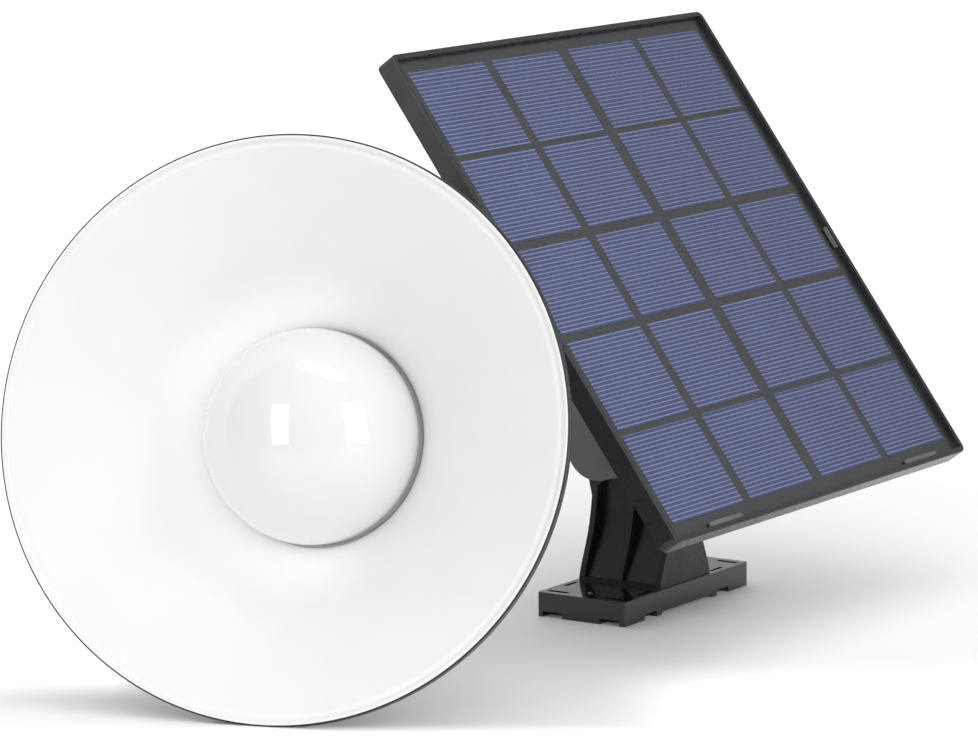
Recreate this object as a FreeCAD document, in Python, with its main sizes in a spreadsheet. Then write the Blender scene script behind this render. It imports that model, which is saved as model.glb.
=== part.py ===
import FreeCAD, Part
import os, math
import Sketcher
from FreeCAD import Vector, Placement, Rotation

# Solar shade lamp with a tilting solar panel on a stand and a lead coiled on the floor.
# World frame: millimetres, +Z up, origin at the centre of the base plate's underside,
# X along the base plate's long side (and the panel's width), +Y to the panel's back.
# The hinge and panel, and the lamp, are each built in a frame of their own (see Frames).

doc = FreeCAD.newDocument("solar_shade_lamp")
sheet = doc.addObject("Spreadsheet::Sheet", "Dims")
aliases = []


# ---- Sizes bound to the spreadsheet ---------------------------------------------------
class Size(object):
    """A number with the formula that gives it, so that features stay bound to the sheet."""

    def __init__(self, value, formula):
        self.value = float(value)
        self.formula = formula

    def __add__(self, other):
        other = as_size(other)
        return Size(self.value + other.value, "(%s + %s)" % (self.formula, other.formula))

    def __radd__(self, other):
        return as_size(other) + self

    def __sub__(self, other):
        other = as_size(other)
        return Size(self.value - other.value, "(%s - %s)" % (self.formula, other.formula))

    def __rsub__(self, other):
        return as_size(other) - self

    def __mul__(self, other):
        other = as_size(other)
        return Size(self.value * other.value, "(%s * %s)" % (self.formula, other.formula))

    def __truediv__(self, other):
        other = as_size(other)
        return Size(self.value / other.value, "(%s / %s)" % (self.formula, other.formula))

    def __neg__(self):
        return 0 - self

    def is_bound(self):
        return "Dims." in self.formula


def as_size(number):
    if isinstance(number, Size):
        return number
    return Size(number, "%.6f" % number if number >= 0 else "(0 - %.6f)" % -number)


def dim(alias, value, note):
    """One spreadsheet row; returns the size bound to it."""
    aliases.append(alias)
    row = len(aliases)
    sheet.set("A%d" % row, alias)
    sheet.set("B%d" % row, "%.6f" % value)
    sheet.set("C%d" % row, note)
    sheet.setAlias("B%d" % row, alias)
    return Size(value, "Dims." + alias)


# ---- Driving dimensions ---------------------------------------------------------------
base_len = dim("base_len", 101.4, "base plate length")
base_wid = dim("base_wid", 43.2, "base plate width")
base_ht = dim("base_ht", 10.5, "base plate height")
foot_half = dim("foot_half", 20.3, "half width of the column foot")
foot_front = dim("foot_front", 20.6, "column front face from the centre")
foot_rear = dim("foot_rear", 20.1, "column rear face from the centre")
neck_half = dim("neck_half", 9.4, "half width of the column neck")
pivot_y = dim("pivot_y", 14.6, "tilt axis, behind the base centre")
pivot_z = dim("pivot_z", 67.6, "tilt axis height")
ear_out = dim("ear_out", 16.0, "yoke ear outer face")
ear_in = dim("ear_in", 10.45, "yoke ear inner face")
ear_rad = dim("ear_rad", 14.3, "yoke ear round end")
bolt_rad = dim("bolt_rad", 2.5, "clamp bolt")
run_gap = dim("run_gap", 0.05, "running clearance on the clamp bolt")
tilt_deg = dim("tilt_deg", 54.0, "panel tilt from level")
panel_wid = dim("panel_wid", 244.0, "panel width")
panel_hgt = dim("panel_hgt", 231.8, "panel height")
panel_thk = dim("panel_thk", 8.9, "panel tray depth")
back_off = dim("back_off", 67.25, "tray back from the tilt axis")
centre_up = dim("centre_up", 44.55, "panel centre above the tilt axis, along the slope")
panel_side = dim("panel_side", 3.4, "panel centre beside the yoke centre")
lip_wid = dim("lip_wid", 2.4, "tray lip width")
film_deep = dim("film_deep", 1.9, "laminate below the lip")
cell_thk = dim("cell_thk", 0.25, "solar cell thickness")
rim_rad = dim("rim_rad", 114.0, "shade rim radius")
shade_thk = dim("shade_thk", 1.8, "shade wall")
dome_rad = dim("dome_rad", 42.5, "diffuser dome radius")
dome_deep = dim("dome_deep", 41.8, "dome centre behind the rim plane")
floor_deep = dim("floor_deep", 60.0, "shade floor behind the rim plane")
house_rad = dim("house_rad", 41.0, "battery housing radius")
house_back = dim("house_back", 94.0, "battery housing rear edge behind the rim plane")
cell_rad = dim("cell_rad", 9.2, "lithium cell radius")
cell_len = dim("cell_len", 65.2, "lithium cell length")
wire_rad = dim("wire_rad", 1.5, "hanging loop wire")
lamp_x = dim("lamp_x", -247.0, "rim centre")
lamp_y = dim("lamp_y", 11.0, "rim centre")
lamp_z = dim("lamp_z", 110.7, "rim centre")
lamp_azim = dim("lamp_azim", -161.3, "direction of the opening, degrees")
lamp_elev = dim("lamp_elev", 13.9, "opening tips up, degrees")
lead_rad = dim("lead_rad", 2.0, "lead radius")
coil_x = dim("coil_x", -125.0, "coiled lead centre")
coil_y = dim("coil_y", 118.0, "coiled lead centre")
coil_rad = dim("coil_rad", 36.0, "coiled lead radius")
doc.recompute()


# ---- Frames ---------------------------------------------------------------------------
def lamp_frame():
    """Origin at the rim's centre, z to the back of the lamp, x level, y upward."""
    azimuth, elevation = math.radians(lamp_azim.value), math.radians(lamp_elev.value)
    back = -Vector(math.cos(azimuth) * math.cos(elevation),
                   math.sin(azimuth) * math.cos(elevation), math.sin(elevation))
    level = Vector(-back.y, back.x, 0).normalize()
    return Placement(Vector(lamp_x.value, lamp_y.value, lamp_z.value),
                     Rotation(level, back.cross(level), back, "ZXY"))


WORLD = Placement()
# origin on the tilt axis, y up the slope, z to the panel's face
PANEL = Placement(Vector(0, pivot_y.value, pivot_z.value),
                  Rotation(Vector(1, 0, 0), tilt_deg.value))
LAMP = lamp_frame()

# Sketch planes: on XZ the normal is -Y, so a positive offset lies to the front;
# on YZ the normal is +X.
XY, XZ, YZ = "XY_Plane", "XZ_Plane", "YZ_Plane"
ALONG_X = Rotation(Vector(0, 1, 0), 90)
ALONG_Y = Rotation(Vector(1, 0, 0), -90)
QUARTERS = [(-1, -1), (1, -1), (-1, 1), (1, 1)]


# ---- Outlines and places --------------------------------------------------------------
def rect(x0, y0, x1, y1):
    return [(x0, y0), (x1, y0), (x1, y1), (x0, y1)]


def centred_rect(x, y, half_x, half_y):
    return rect(x - half_x, y - half_y, x + half_x, y + half_y)


def circles(places, radius):
    return [("circle", x, y, radius) for x, y in places]


def four(half_x, half_y, x=0, y=0):
    """The corners of a rectangle centred on x, y."""
    return [(x + side * half_x, y + end * half_y) for side, end in QUARTERS]


def polar(radius, angles):
    return [(radius * math.cos(math.radians(a)), radius * math.sin(math.radians(a)))
            for a in angles]


def mirrored(edge):
    """A closed outline from its +x edge and the mirror image of it."""
    return edge + [(-x, y) for x, y in reversed(edge)]


# ---- Sketches and body features -------------------------------------------------------
def new_body(name):
    return doc.addObject("PartDesign::Body", name)


def pin_point(sk, geometry, vertex, x, y):
    """Dimension a sketch point from the origin; a zero coordinate puts it on the axis."""
    for place, kind, axis in ((x, "DistanceX", -2), (y, "DistanceY", -1)):
        place = as_size(place)
        if abs(place.value) < 1e-9:
            sk.addConstraint(Sketcher.Constraint("PointOnObject", geometry, vertex, axis))
        else:
            index = sk.addConstraint(
                Sketcher.Constraint(kind, -1, 1, geometry, vertex, place.value))
            if place.is_bound():
                sk.setExpression("Constraints[%d]" % index, place.formula)


def flat_vector(point):
    return Vector(as_size(point[0]).value, as_size(point[1]).value, 0)


def add_loop(sk, points):
    """A closed outline through points."""
    count = len(points)
    first = sk.GeometryCount
    for i in range(count):
        ends = flat_vector(points[i]), flat_vector(points[(i + 1) % count])
        sk.addGeometry(Part.LineSegment(*ends), False)
    for i in range(count):
        sk.addConstraint(
            Sketcher.Constraint("Coincident", first + i, 2, first + (i + 1) % count, 1))
    for i, (x, y) in enumerate(points):
        pin_point(sk, first + i, 1, x, y)


def add_circle(sk, x, y, radius):
    radius = as_size(radius)
    circle = sk.addGeometry(
        Part.Circle(flat_vector((x, y)), Vector(0, 0, 1), radius.value), False)
    index = sk.addConstraint(Sketcher.Constraint("Radius", circle, radius.value))
    if radius.is_bound():
        sk.setExpression("Constraints[%d]" % index, radius.formula)
    pin_point(sk, circle, 3, x, y)


def sketch(body, name, plane, loops, offset=0.0):
    sk = body.newObject("Sketcher::SketchObject", name)
    support = [f for f in body.Origin.OriginFeatures if f.Role == plane][0]
    sk.AttachmentSupport = (support, [""])
    sk.MapMode = "FlatFace"
    offset = as_size(offset)
    sk.AttachmentOffset = Placement(Vector(0, 0, offset.value), Rotation())
    if offset.is_bound():
        sk.setExpression("AttachmentOffset.Base.z", offset.formula)
    for loop in loops:
        if loop[0] == "circle":
            add_circle(sk, *loop[1:])
        else:
            add_loop(sk, loop)
    return sk


def bind(obj, prop, size):
    size = as_size(size)
    setattr(obj, prop, size.value)
    if size.is_bound():
        obj.setExpression(prop, size.formula)


def extrude(kind, body, outline_name, name, plane, loops, offset, length, reverse):
    profile = sketch(body, outline_name, plane, loops, offset)
    feature = body.newObject(kind, name)
    feature.Profile = profile
    bind(feature, "Length", length)
    feature.Reversed = reverse
    doc.recompute()
    return feature


def pad(body, outline_name, name, plane, loops, offset, length, reverse=False):
    """Material from the sketch along the plane's normal, or against it if reversed."""
    return extrude("PartDesign::Pad", body, outline_name, name, plane, loops, offset,
                   length, reverse)


def pocket(body, outline_name, name, plane, loops, offset, length, reverse=False):
    """A cut from the sketch against the plane's normal, or along it if reversed."""
    before = body.Shape.Volume
    extrude("PartDesign::Pocket", body, outline_name, name, plane, loops, offset,
            length, reverse)
    if body.Shape.Volume > before - 1e-6:
        raise RuntimeError("pocket %s cuts nothing" % name)


def turn(body, name, start, steps):
    """Turn a closed (radius, height) profile about Z. Each step is ("line", end),
    ("arc", middle, end) or ("curve", points...); a line closes the profile."""
    if all(step[0] == "line" for step in steps):
        profile = sketch(body, name + "_profile", XZ, [[start] + [s[1] for s in steps]])
    else:
        profile = sketch(body, name + "_profile", XZ, [])
        current = start
        for kind, *points in steps + [("line", start)]:
            stops = [flat_vector(p) for p in [current] + points]
            if kind == "line":
                geometry = Part.LineSegment(*stops)
            elif kind == "arc":
                geometry = Part.Arc(*stops)
            else:
                geometry = Part.BSplineCurve()
                geometry.interpolate(stops)
            index = profile.addGeometry(geometry, False)
            profile.addConstraint(Sketcher.Constraint("Block", index))
            current = points[-1]
    feature = body.newObject("PartDesign::Revolution", name)
    feature.Profile = profile
    feature.ReferenceAxis = (profile, ["V_Axis"])
    feature.Angle = 360.0
    doc.recompute()


def fillet(body, feature, radius, keep, name):
    names = ["Edge%d" % (i + 1) for i, e in enumerate(feature.Shape.Edges) if keep(e)]
    if not names:
        raise RuntimeError("no edges for " + name)
    rounded = body.newObject("PartDesign::Fillet", name)
    rounded.Base = (feature, names)
    rounded.Radius = radius
    doc.recompute()
    return rounded


def vertical(edge):
    if len(edge.Vertexes) != 2:
        return False
    run = edge.Vertexes[1].Point - edge.Vertexes[0].Point
    return (run.Length > 1e-6 and abs(abs(run.normalize().z) - 1) < 1e-6
            and edge.Curve.TypeId == "Part::GeomLine")


# ---- Part solids ----------------------------------------------------------------------
def put(obj, place, rotation=None):
    sizes = [as_size(c) for c in place]
    obj.Placement = Placement(Vector(*[s.value for s in sizes]), rotation or Rotation())
    for axis, size in zip("xyz", sizes):
        if size.is_bound():
            obj.setExpression("Placement.Base." + axis, size.formula)
    return obj


def box(name, corner, lengths):
    obj = doc.addObject("Part::Box", name)
    for prop, length in zip(("Length", "Width", "Height"), lengths):
        bind(obj, prop, length)
    return put(obj, corner)


def cyl(name, radius, length, place, rotation=None):
    obj = doc.addObject("Part::Cylinder", name)
    bind(obj, "Radius", radius)
    bind(obj, "Height", length)
    return put(obj, place, rotation)


def hexagon(name, corner_rad, length, x):
    """A hexagonal prism along X, centred on the axis."""
    obj = doc.addObject("Part::Prism", name)
    obj.Polygon = 6
    bind(obj, "Circumradius", corner_rad)
    bind(obj, "Height", length)
    return put(obj, (x, 0, 0), ALONG_X)


def fuse(name, objs):
    obj = doc.addObject("Part::MultiFuse", name)
    obj.Shapes = objs
    return obj


def cut(name, base, tools):
    obj = doc.addObject("Part::Cut", name)
    obj.Base = base
    obj.Tool = tools[0] if len(tools) == 1 else fuse(name + "_tools", tools)
    return obj


def group(name, objs):
    obj = doc.addObject("Part::Compound", name)
    obj.Links = objs
    return obj


def ring(name, outer_rad, inner_rad, length, place, rotation=None):
    return cut(name, cyl(name + "_a", outer_rad, length, place, rotation),
               [cyl(name + "_b", inner_rad, length, place, rotation)])


def drills(stem, radius, length, places, low):
    return [cyl("%s_%d" % (stem, i), radius, length, (x, y, low))
            for i, (x, y) in enumerate(places)]


def screw(name, x, y, seat, shank, head_rad, shank_rad, head_ht, down):
    """A cross-head screw along Z with its head on the seat plane."""
    seat = as_size(seat)
    recess_deep = head_ht * 0.55
    if down:
        shank_low, head_low, recess_low = seat - shank, seat, seat + head_ht * 0.45
    else:
        shank_low, head_low, recess_low = seat, seat - head_ht, seat - head_ht
    blank = fuse(name + "_f", [cyl(name + "_s", shank_rad, shank, (x, y, shank_low)),
                               cyl(name + "_h", head_rad, head_ht, (x, y, head_low))])
    narrow, wide = head_rad * 0.3, head_rad * 1.15
    arms = [box(name + suffix, (x - along / 2, y - across / 2, recess_low),
                (along, across, recess_deep))
            for suffix, along, across in (("_c1", wide, narrow), ("_c2", narrow, wide))]
    return cut(name, blank, arms)


def screw_set(name, places, seat, shank, head_rad, shank_rad, head_ht, down=False):
    return group(name, [screw("%s_%d" % (name[:-1], i), x, y, seat, shank, head_rad,
                              shank_rad, head_ht, down)
                        for i, (x, y) in enumerate(places)])


def swept(points, radius, start=None):
    """A round lead along a smooth curve, with a straight run from start if given."""
    points = [Vector(*p) for p in points]
    curve = Part.BSplineCurve()
    if start is None:
        curve.interpolate(points)
        path = Part.Wire([curve.toShape()])
        origin, direction = points[0], curve.tangent(curve.FirstParameter)[0]
    else:
        origin = Vector(*start)
        direction = (points[0] - origin).normalize()
        curve.interpolate(Points=points, InitialTangent=direction,
                          FinalTangent=(points[-1] - points[-2]).normalize())
        path = Part.Wire([Part.makeLine(origin, points[0]), curve.toShape()])
    section = Part.Wire([Part.Circle(origin, direction, radius).toShape()])
    return path.makePipeShell([section], True, start is None)


def shaped(name, shape):
    obj = doc.addObject("Part::Feature", name)
    obj.Shape = shape
    return obj


# =======================================================================================
# STAND
# =======================================================================================
COLUMN_SCREWS = four(10.0, 12.0)
COLUMN_SEAT = 5.5           # screw heads above the base plate's underside
COLUMN_SCREW_RAD = 1.45
FIXINGS = [(-41.9, 0), (41.9, 0)]


def base_plate():
    half_len, half_wid = base_len / 2, base_wid / 2
    body = new_body("base_plate_body")
    plate = pad(body, "base_outline", "base_pad", XY,
                [rect(-half_len, -half_wid, half_len, half_wid)], 0, base_ht)
    fillet(body, plate, 0.9, vertical, "base_corners")

    # strap slots near the ends and along the long sides, and reliefs open to the edges
    end_x, end_y, end_half = 46.0, 14.2, 4.9
    side_x, side_y, side_half = 29.6, 18.3, 4.8
    end_thk, side_thk = 1.3, 0.9    # half widths
    slots, reliefs = [], []
    for side, end in QUARTERS:
        x, y = side * end_x, end * end_y
        slots.append(centred_rect(x, y, end_thk, end_half))
        low, high = sorted((side * (end_x - end_thk), side * 60.0))
        reliefs.append(rect(low, y - end_half, high, y + end_half))
        x, y = side * side_x, end * side_y
        slots.append(centred_rect(x, y, side_half, side_thk))
        low, high = sorted((end * (side_y - side_thk), end * 30.0))
        reliefs.append(rect(x - side_half, low, x + side_half, high))
    pocket(body, "strap_slots", "strap_slot_cut", XY, slots, base_ht, base_ht)
    pocket(body, "slot_relief", "slot_relief_cut", XY, reliefs, 0, 2.4, True)
    # shallow arch under the middle
    pocket(body, "arch", "arch_cut", XZ,
           [[(-21.5, -1.0), (-20.0, 1.3), (20.0, 1.3), (21.5, -1.0)]],
           -half_wid - 5, base_wid + 10, True)

    # fixing holes on the long axis, counterbored from above
    pocket(body, "fixing_holes", "fixing_hole_cut", XY, circles(FIXINGS, 2.5),
           base_ht, base_ht)
    pocket(body, "fixing_sinks", "fixing_sink_cut", XY, circles(FIXINGS, 3.6), base_ht, 1.2)
    # column screw holes, counterbored from below
    pocket(body, "column_screw_holes", "column_screw_hole_cut", XY,
           circles(COLUMN_SCREWS, 1.75), base_ht, base_ht)
    pocket(body, "column_screw_sinks", "column_screw_sink_cut", XY,
           circles(COLUMN_SCREWS, 3.4), 0, COLUMN_SEAT, True)
    return body


# half width, height: edge of the column's cross plates above the foot
FLARE = [(19.9, 13.0), (18.9, 16.0), (17.5, 19.5), (15.6, 23.8), (13.7, 28.5), (12.0, 34.0),
         (10.7, 40.0), (9.8, 46.0), (9.4, 52.0)]
# half width, height: edge of the column's web above the foot
WEB = [(18.4, 12.0), (16.9, 14.5), (15.2, 17.5), (13.5, 20.8), (11.2, 24.5), (8.9, 29.0),
       (7.0, 34.0), (5.7, 39.0), (5.0, 44.0), (5.0, 52.0)]
# y, height: flank windows in front of and behind the middle plate
FRONT_WINDOW = [(-17.8, 44.0), (-1.6, 44.0), (-1.6, 58.5), (-17.8, 48.8)]
REAR_WINDOW = [(1.6, 44.0), (17.3, 44.0), (17.3, 50.0), (12.0, 54.2), (1.6, 54.2)]


def column():
    """Three flared plates on a central web, with a foot, a neck and a knuckle."""
    plate_thk = 2.6
    window_deep = 4.4
    flare = mirrored([(foot_half, base_ht)] + FLARE)
    web = mirrored([(19.4, base_ht)] + WEB)
    body = new_body("column_body")
    pad(body, "front_plate", "front_plate_pad", XZ, [flare], foot_front - plate_thk, plate_thk)
    pad(body, "web", "web_pad", XZ, [web], -foot_rear, foot_front + foot_rear)
    pad(body, "rear_plate", "rear_plate_pad", XZ, [flare], -foot_rear, plate_thk)
    pad(body, "mid_plate", "mid_plate_pad", XZ, [flare], -plate_thk / 2, plate_thk)
    foot_x = foot_half - 0.2
    pad(body, "foot_slab", "foot_slab_pad", XY,
        [rect(-foot_x, -foot_front, foot_x, foot_rear)], base_ht, 1.6)
    neck = [(-foot_front, 44.0), (foot_rear, 44.0), (pivot_y + 8.9, pivot_z - 8.3),
            (pivot_y, pivot_z), (pivot_y - 6.1, pivot_z + 10.4), (-foot_front, 50.5)]
    pad(body, "neck", "neck_pad", YZ, [neck], -neck_half, neck_half * 2)
    pad(body, "knuckle", "knuckle_pad", YZ, [("circle", pivot_y, pivot_z, 12.2)],
        -neck_half, neck_half * 2)
    for sign, side in ((-1, "left"), (1, "right")):
        for stem, window in (("neck_window", FRONT_WINDOW), ("neck_window_rear", REAR_WINDOW)):
            pocket(body, stem + "_" + side, stem + "_cut_" + side, YZ, [window],
                   neck_half * sign, window_deep, sign < 0)
    pocket(body, "pivot_bore", "pivot_bore_cut", YZ,
           [("circle", pivot_y, pivot_z, bolt_rad + run_gap)], -20, 40, True)
    pocket(body, "foot_pilot_holes", "foot_pilot_hole_cut", XY,
           circles(COLUMN_SCREWS, COLUMN_SCREW_RAD), 0, 20.5, True)
    return body


def column_screws():
    return screw_set("column_screws", COLUMN_SCREWS, seat=COLUMN_SEAT, shank=12.5,
                     head_rad=3.0, shank_rad=COLUMN_SCREW_RAD, head_ht=2.2)


def friction_washers():
    """One washer on each face of the knuckle."""
    thk = 1.0
    return group("friction_washers_group",
                 [ring(name, 9.0, bolt_rad + 0.3, thk, (x, pivot_y, pivot_z), ALONG_X)
                  for name, x in (("washer_left", -neck_half - thk),
                                  ("washer_right", neck_half))])


# =======================================================================================
# HINGE, in the panel's frame
# =======================================================================================
# y, z: side outline of a yoke ear
GUSSET = [(-13.2, -5.5), (-43.5, back_off), (66.0, back_off), (62.0, 50.0), (46.0, 26.0),
          (36.5, 11.5), (31.0, 4.9), (8.4, -11.6), (0.0, 0.0)]
# y, z: section of the spine that joins the ears along their rear edge
SPINE = [(20.0, -3.2), (31.0, 4.9), (36.5, 11.5), (46.0, 26.0), (62.0, 50.0),
         (66.0, back_off), (61.5, back_off), (58.0, 51.2), (43.0, 28.2), (34.0, 14.0),
         (29.0, 8.2), (18.2, 0.2)]
YOKE_SCREWS = [(-24.0, -40.0), (24.0, -40.0), (-24.0, 61.0), (24.0, 61.0)]
YOKE_SCREW_RAD = 1.5
FLANGE_THK = 3.5
HEX_CORNER = 1.1547         # corner radius of a hexagon over its flat radius
NUT_FLAT = 4.0              # flat radius and thickness of the nut
NUT_GAP = 0.05
bore_rad = bolt_rad + run_gap


def hinge_yoke():
    flange_half = 31.0
    ear_thk = ear_out - ear_in
    body = new_body("yoke_body")
    for side, offset in (("left", -ear_out), ("right", ear_in)):
        pad(body, "ear_" + side, "ear_pad_" + side, YZ, [GUSSET], offset, ear_thk)
        pad(body, "ear_round_" + side, "ear_round_pad_" + side, YZ,
            [("circle", 0, 0, ear_rad)], offset, ear_thk)
    pad(body, "spine", "spine_pad", YZ, [SPINE], -ear_out + 1, ear_out * 2 - 2)
    # flange against the tray's back
    flange = pad(body, "flange", "flange_pad", XY,
                 [rect(-flange_half, -49.0, flange_half, 70.0)],
                 back_off - FLANGE_THK, FLANGE_THK)
    fillet(body, flange, 5.0,
           lambda e: (vertical(e) and abs(abs(e.CenterOfMass.x) - flange_half) < 0.1
                      and e.CenterOfMass.z > 60), "flange_corners")
    # opening in the flange between the ears
    pocket(body, "flange_window", "flange_window_cut", XY, [rect(-8.5, -38.0, 8.5, 52.0)],
           back_off, 6.0)
    pocket(body, "flange_holes", "flange_hole_cut", XY, circles(YOKE_SCREWS, 1.8),
           back_off, 6.0)
    # bore through the right ear; nut pocket in the left ear's inner face
    pocket(body, "bolt_bore", "bolt_bore_cut", YZ, [("circle", 0, 0, bore_rad)],
           ear_in - 2, 12.0, True)
    nut_seat = polar((NUT_FLAT + NUT_GAP) * HEX_CORNER, (30, 90, 150, 210, 270, 330))
    pocket(body, "nut_pocket", "nut_pocket_cut", YZ, [nut_seat], -ear_in, 4.1)
    return body


def captive_nut():
    nut = hexagon("nut_prism", NUT_FLAT * HEX_CORNER, NUT_FLAT, -ear_in - NUT_FLAT - NUT_GAP)
    return cut("captive_nut_cut", nut,
               [cyl("nut_hole", bore_rad, 6, (-ear_in - 5, 0, 0), ALONG_X)])


def bolt_head(name):
    """The bolt's hexagonal head, also cut from the knob as its seat."""
    return hexagon(name, 4.6, 3.5, ear_out + 4.0)


def clamp_bolt():
    """Shank from the nut to the knob, with the head buried in the knob."""
    shank = cyl("bolt_shank", bolt_rad, ear_in + ear_out + 8.0, (-ear_in - 4.0, 0, 0), ALONG_X)
    return fuse("clamp_bolt_fuse", [shank, bolt_head("bolt_head")])


def spring_washer():
    """Outside the right ear, its centre off the bolt's axis toward the panel."""
    outside = ear_out + 0.1
    return ring("spring_washer_ring", 6.0, bolt_rad + 0.3, 1.1, (outside, 0, outside), ALONG_X)


def clamp_knob():
    """A round knob with six flutes in its rim."""
    core = cyl("knob_core", 11.0, 11.0, (ear_out + 1.3, 0, 0), ALONG_X)
    flutes = [cyl("knob_flute_%d" % i, 3.2, 12.0, (ear_out + 2.8, y, z), ALONG_X)
              for i, (y, z) in enumerate(polar(12.6, range(0, 360, 60)))]
    bore = cyl("knob_bore", bolt_rad, 8.0, (ear_out, 0, 0), ALONG_X)
    return cut("clamp_knob_cut", core, flutes + [bolt_head("knob_head_seat"), bore])


def yoke_screws():
    return screw_set("yoke_screws", YOKE_SCREWS, seat=back_off - FLANGE_THK, shank=6.4,
                     head_rad=3.1, shank_rad=YOKE_SCREW_RAD, head_ht=2.0)


# =======================================================================================
# PANEL, in the panel's frame
# =======================================================================================
tray_left, tray_right = panel_side - panel_wid / 2, panel_side + panel_wid / 2
tray_low, tray_high = centre_up - panel_hgt / 2, centre_up + panel_hgt / 2
tray_face = back_off + panel_thk

# laminate of cover film, cells and board, with a gap to the lip all round
FILM_THK, BOARD_THK, LAMINATE_GAP = 0.4, 1.6, 0.15
laminate_thk = cell_thk + FILM_THK + BOARD_THK
laminate_face = tray_face - film_deep
laminate_back = laminate_face - laminate_thk
laminate_x = tray_left + lip_wid + LAMINATE_GAP
laminate_y = tray_low + lip_wid + LAMINATE_GAP
laminate_wid = panel_wid - lip_wid * 2 - LAMINATE_GAP * 2
laminate_hgt = panel_hgt - lip_wid * 2 - LAMINATE_GAP * 2

# bus ribbons: left edges from the panel's centre
RIBBON_X = (-88.0, -29.0, 29.0, 88.0)
RIBBON_WID, RIBBON_THK = 2.5, 0.2

# retaining clips: x spans on the bottom lip, start and length on the right lip
BOTTOM_CLIPS = ((-92.0, -67.0), (72.0, 99.0))
SIDE_CLIP_START, SIDE_CLIP_LEN = -9.0, 10.5
CLIP_WID, CLIP_BITE, CLIP_GAP = 3.0, 0.9, 0.05    # width, reach into the lip, clearance

# junction box: centre, half sizes, depth
JBOX_X, JBOX_Y = -62.0, 95.0
JBOX_HALF_X, JBOX_HALF_Y, JBOX_DEEP = 23.0, 15.0, 12.0
JBOX_WALL = 2.0
LID_THK = 2.0
LID_SCREWS = four(18.4, 10.4, JBOX_X, JBOX_Y)
LID_SCREW_RAD = 1.1
WIRE_HOLE_RAD = 4.0
gland_z = back_off - 6.5
jbox_end = back_off - JBOX_DEEP

# shallow recesses in the tray's back: left x, right x, number up from the bottom
BACK_RECESSES = [(-112.0, -88.0, 5), (88.0, 112.0, 5), (-82.0, -40.0, 2), (38.0, 82.0, 5)]


def tray_cavities():
    """A grid of cavities under the laminate, parted by ribs."""
    count, rib, inset = 4, 2.0, 6.4

    def bay(start, end, i):
        low = start + (end - start) * i / count + (rib / 2 if i else 0)
        high = start + (end - start) * (i + 1) / count - (rib / 2 if i < count - 1 else 0)
        return low, high

    cavities = []
    for i in range(count):
        for j in range(count):
            x0, x1 = bay(tray_left.value + inset, tray_right.value - inset, i)
            y0, y1 = bay(tray_low.value + inset, tray_high.value - inset, j)
            cavities.append(rect(x0, y0, x1, y1))
    return cavities


def panel_tray():
    body = new_body("tray_body")
    blank = pad(body, "tray_outline", "tray_pad", XY,
                [rect(tray_left, tray_low, tray_right, tray_high)], back_off, panel_thk)
    rounded = fillet(body, blank, 3.5, vertical, "tray_corners")
    fillet(body, rounded, 0.5, lambda e: abs(e.CenterOfMass.z - tray_face.value) < 0.01,
           "tray_lip_round")
    seat = rect(tray_left + lip_wid, tray_low + lip_wid,
                tray_right - lip_wid, tray_high - lip_wid)
    pocket(body, "laminate_seat", "laminate_seat_cut", XY, [seat], tray_face,
           film_deep + laminate_thk)
    pocket(body, "tray_cavities", "tray_cavity_cut", XY, tray_cavities(), laminate_back, 2.2)

    # grooves in the rib tops for the bus ribbons
    side_gap, end_inset = 0.4, 14.0
    grooves = [rect(panel_side + x - side_gap, tray_low + end_inset,
                    panel_side + x + (RIBBON_WID + side_gap), tray_high - end_inset)
               for x in RIBBON_X]
    pocket(body, "ribbon_grooves", "ribbon_groove_cut", XY, grooves, laminate_back, 0.3)

    # shallow recesses in the back, clear of the yoke flange and the junction box
    first, pitch, height = tray_low + 8.0, 43.6, 39.6
    recesses = [rect(panel_side + x0, first + k * pitch,
                     panel_side + x1, first + k * pitch + height)
                for x0, x1, count in BACK_RECESSES for k in range(count)]
    pocket(body, "back_panels", "back_panel_cut", XY, recesses, back_off, 1.0, True)
    pocket(body, "yoke_pilots", "yoke_pilot_cut", XY, circles(YOKE_SCREWS, YOKE_SCREW_RAD),
           back_off, 3.0, True)
    pocket(body, "wire_hole", "wire_hole_cut", XY,
           [("circle", JBOX_X, JBOX_Y, WIRE_HOLE_RAD)], back_off, 6.0, True)

    # small notches in the lip for the clips
    outer, inner = CLIP_BITE + CLIP_GAP, CLIP_GAP
    notches = [rect(panel_side + (x0 - CLIP_GAP), tray_low + lip_wid - outer,
                    panel_side + (x1 + CLIP_GAP), tray_low + lip_wid + inner)
               for x0, x1 in BOTTOM_CLIPS]
    notches.append(rect(tray_right - lip_wid - inner, centre_up + (SIDE_CLIP_START - CLIP_GAP),
                        tray_right - lip_wid + outer,
                        centre_up + (SIDE_CLIP_START + SIDE_CLIP_LEN + CLIP_GAP)))
    pocket(body, "clip_notches", "clip_notch_cut", XY, notches, laminate_face + 1.2, 1.25)
    return body


def backing_board():
    board = box("board_blank", (laminate_x, laminate_y, laminate_back),
                (laminate_wid, laminate_hgt, BOARD_THK))
    hole = cyl("board_hole", 3.0, 4.0, (JBOX_X, JBOX_Y, laminate_face - 3.5))
    return cut("backing_board_cut", board, [hole])


def cover_film():
    return box("cover_film_box", (laminate_x, laminate_y, laminate_face - FILM_THK),
               (laminate_wid, laminate_hgt, FILM_THK))


# start and end of each cell, as fractions of the array: columns from the left, rows from
# the top
CELL_COLUMNS = ((0.0, 0.243), (0.270, 0.4945), (0.530, 0.757), (0.781, 1.0))
CELL_ROWS = ((0.0, 0.187), (0.200, 0.384), (0.404, 0.5875), (0.605, 0.797), (0.810, 1.0))


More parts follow.
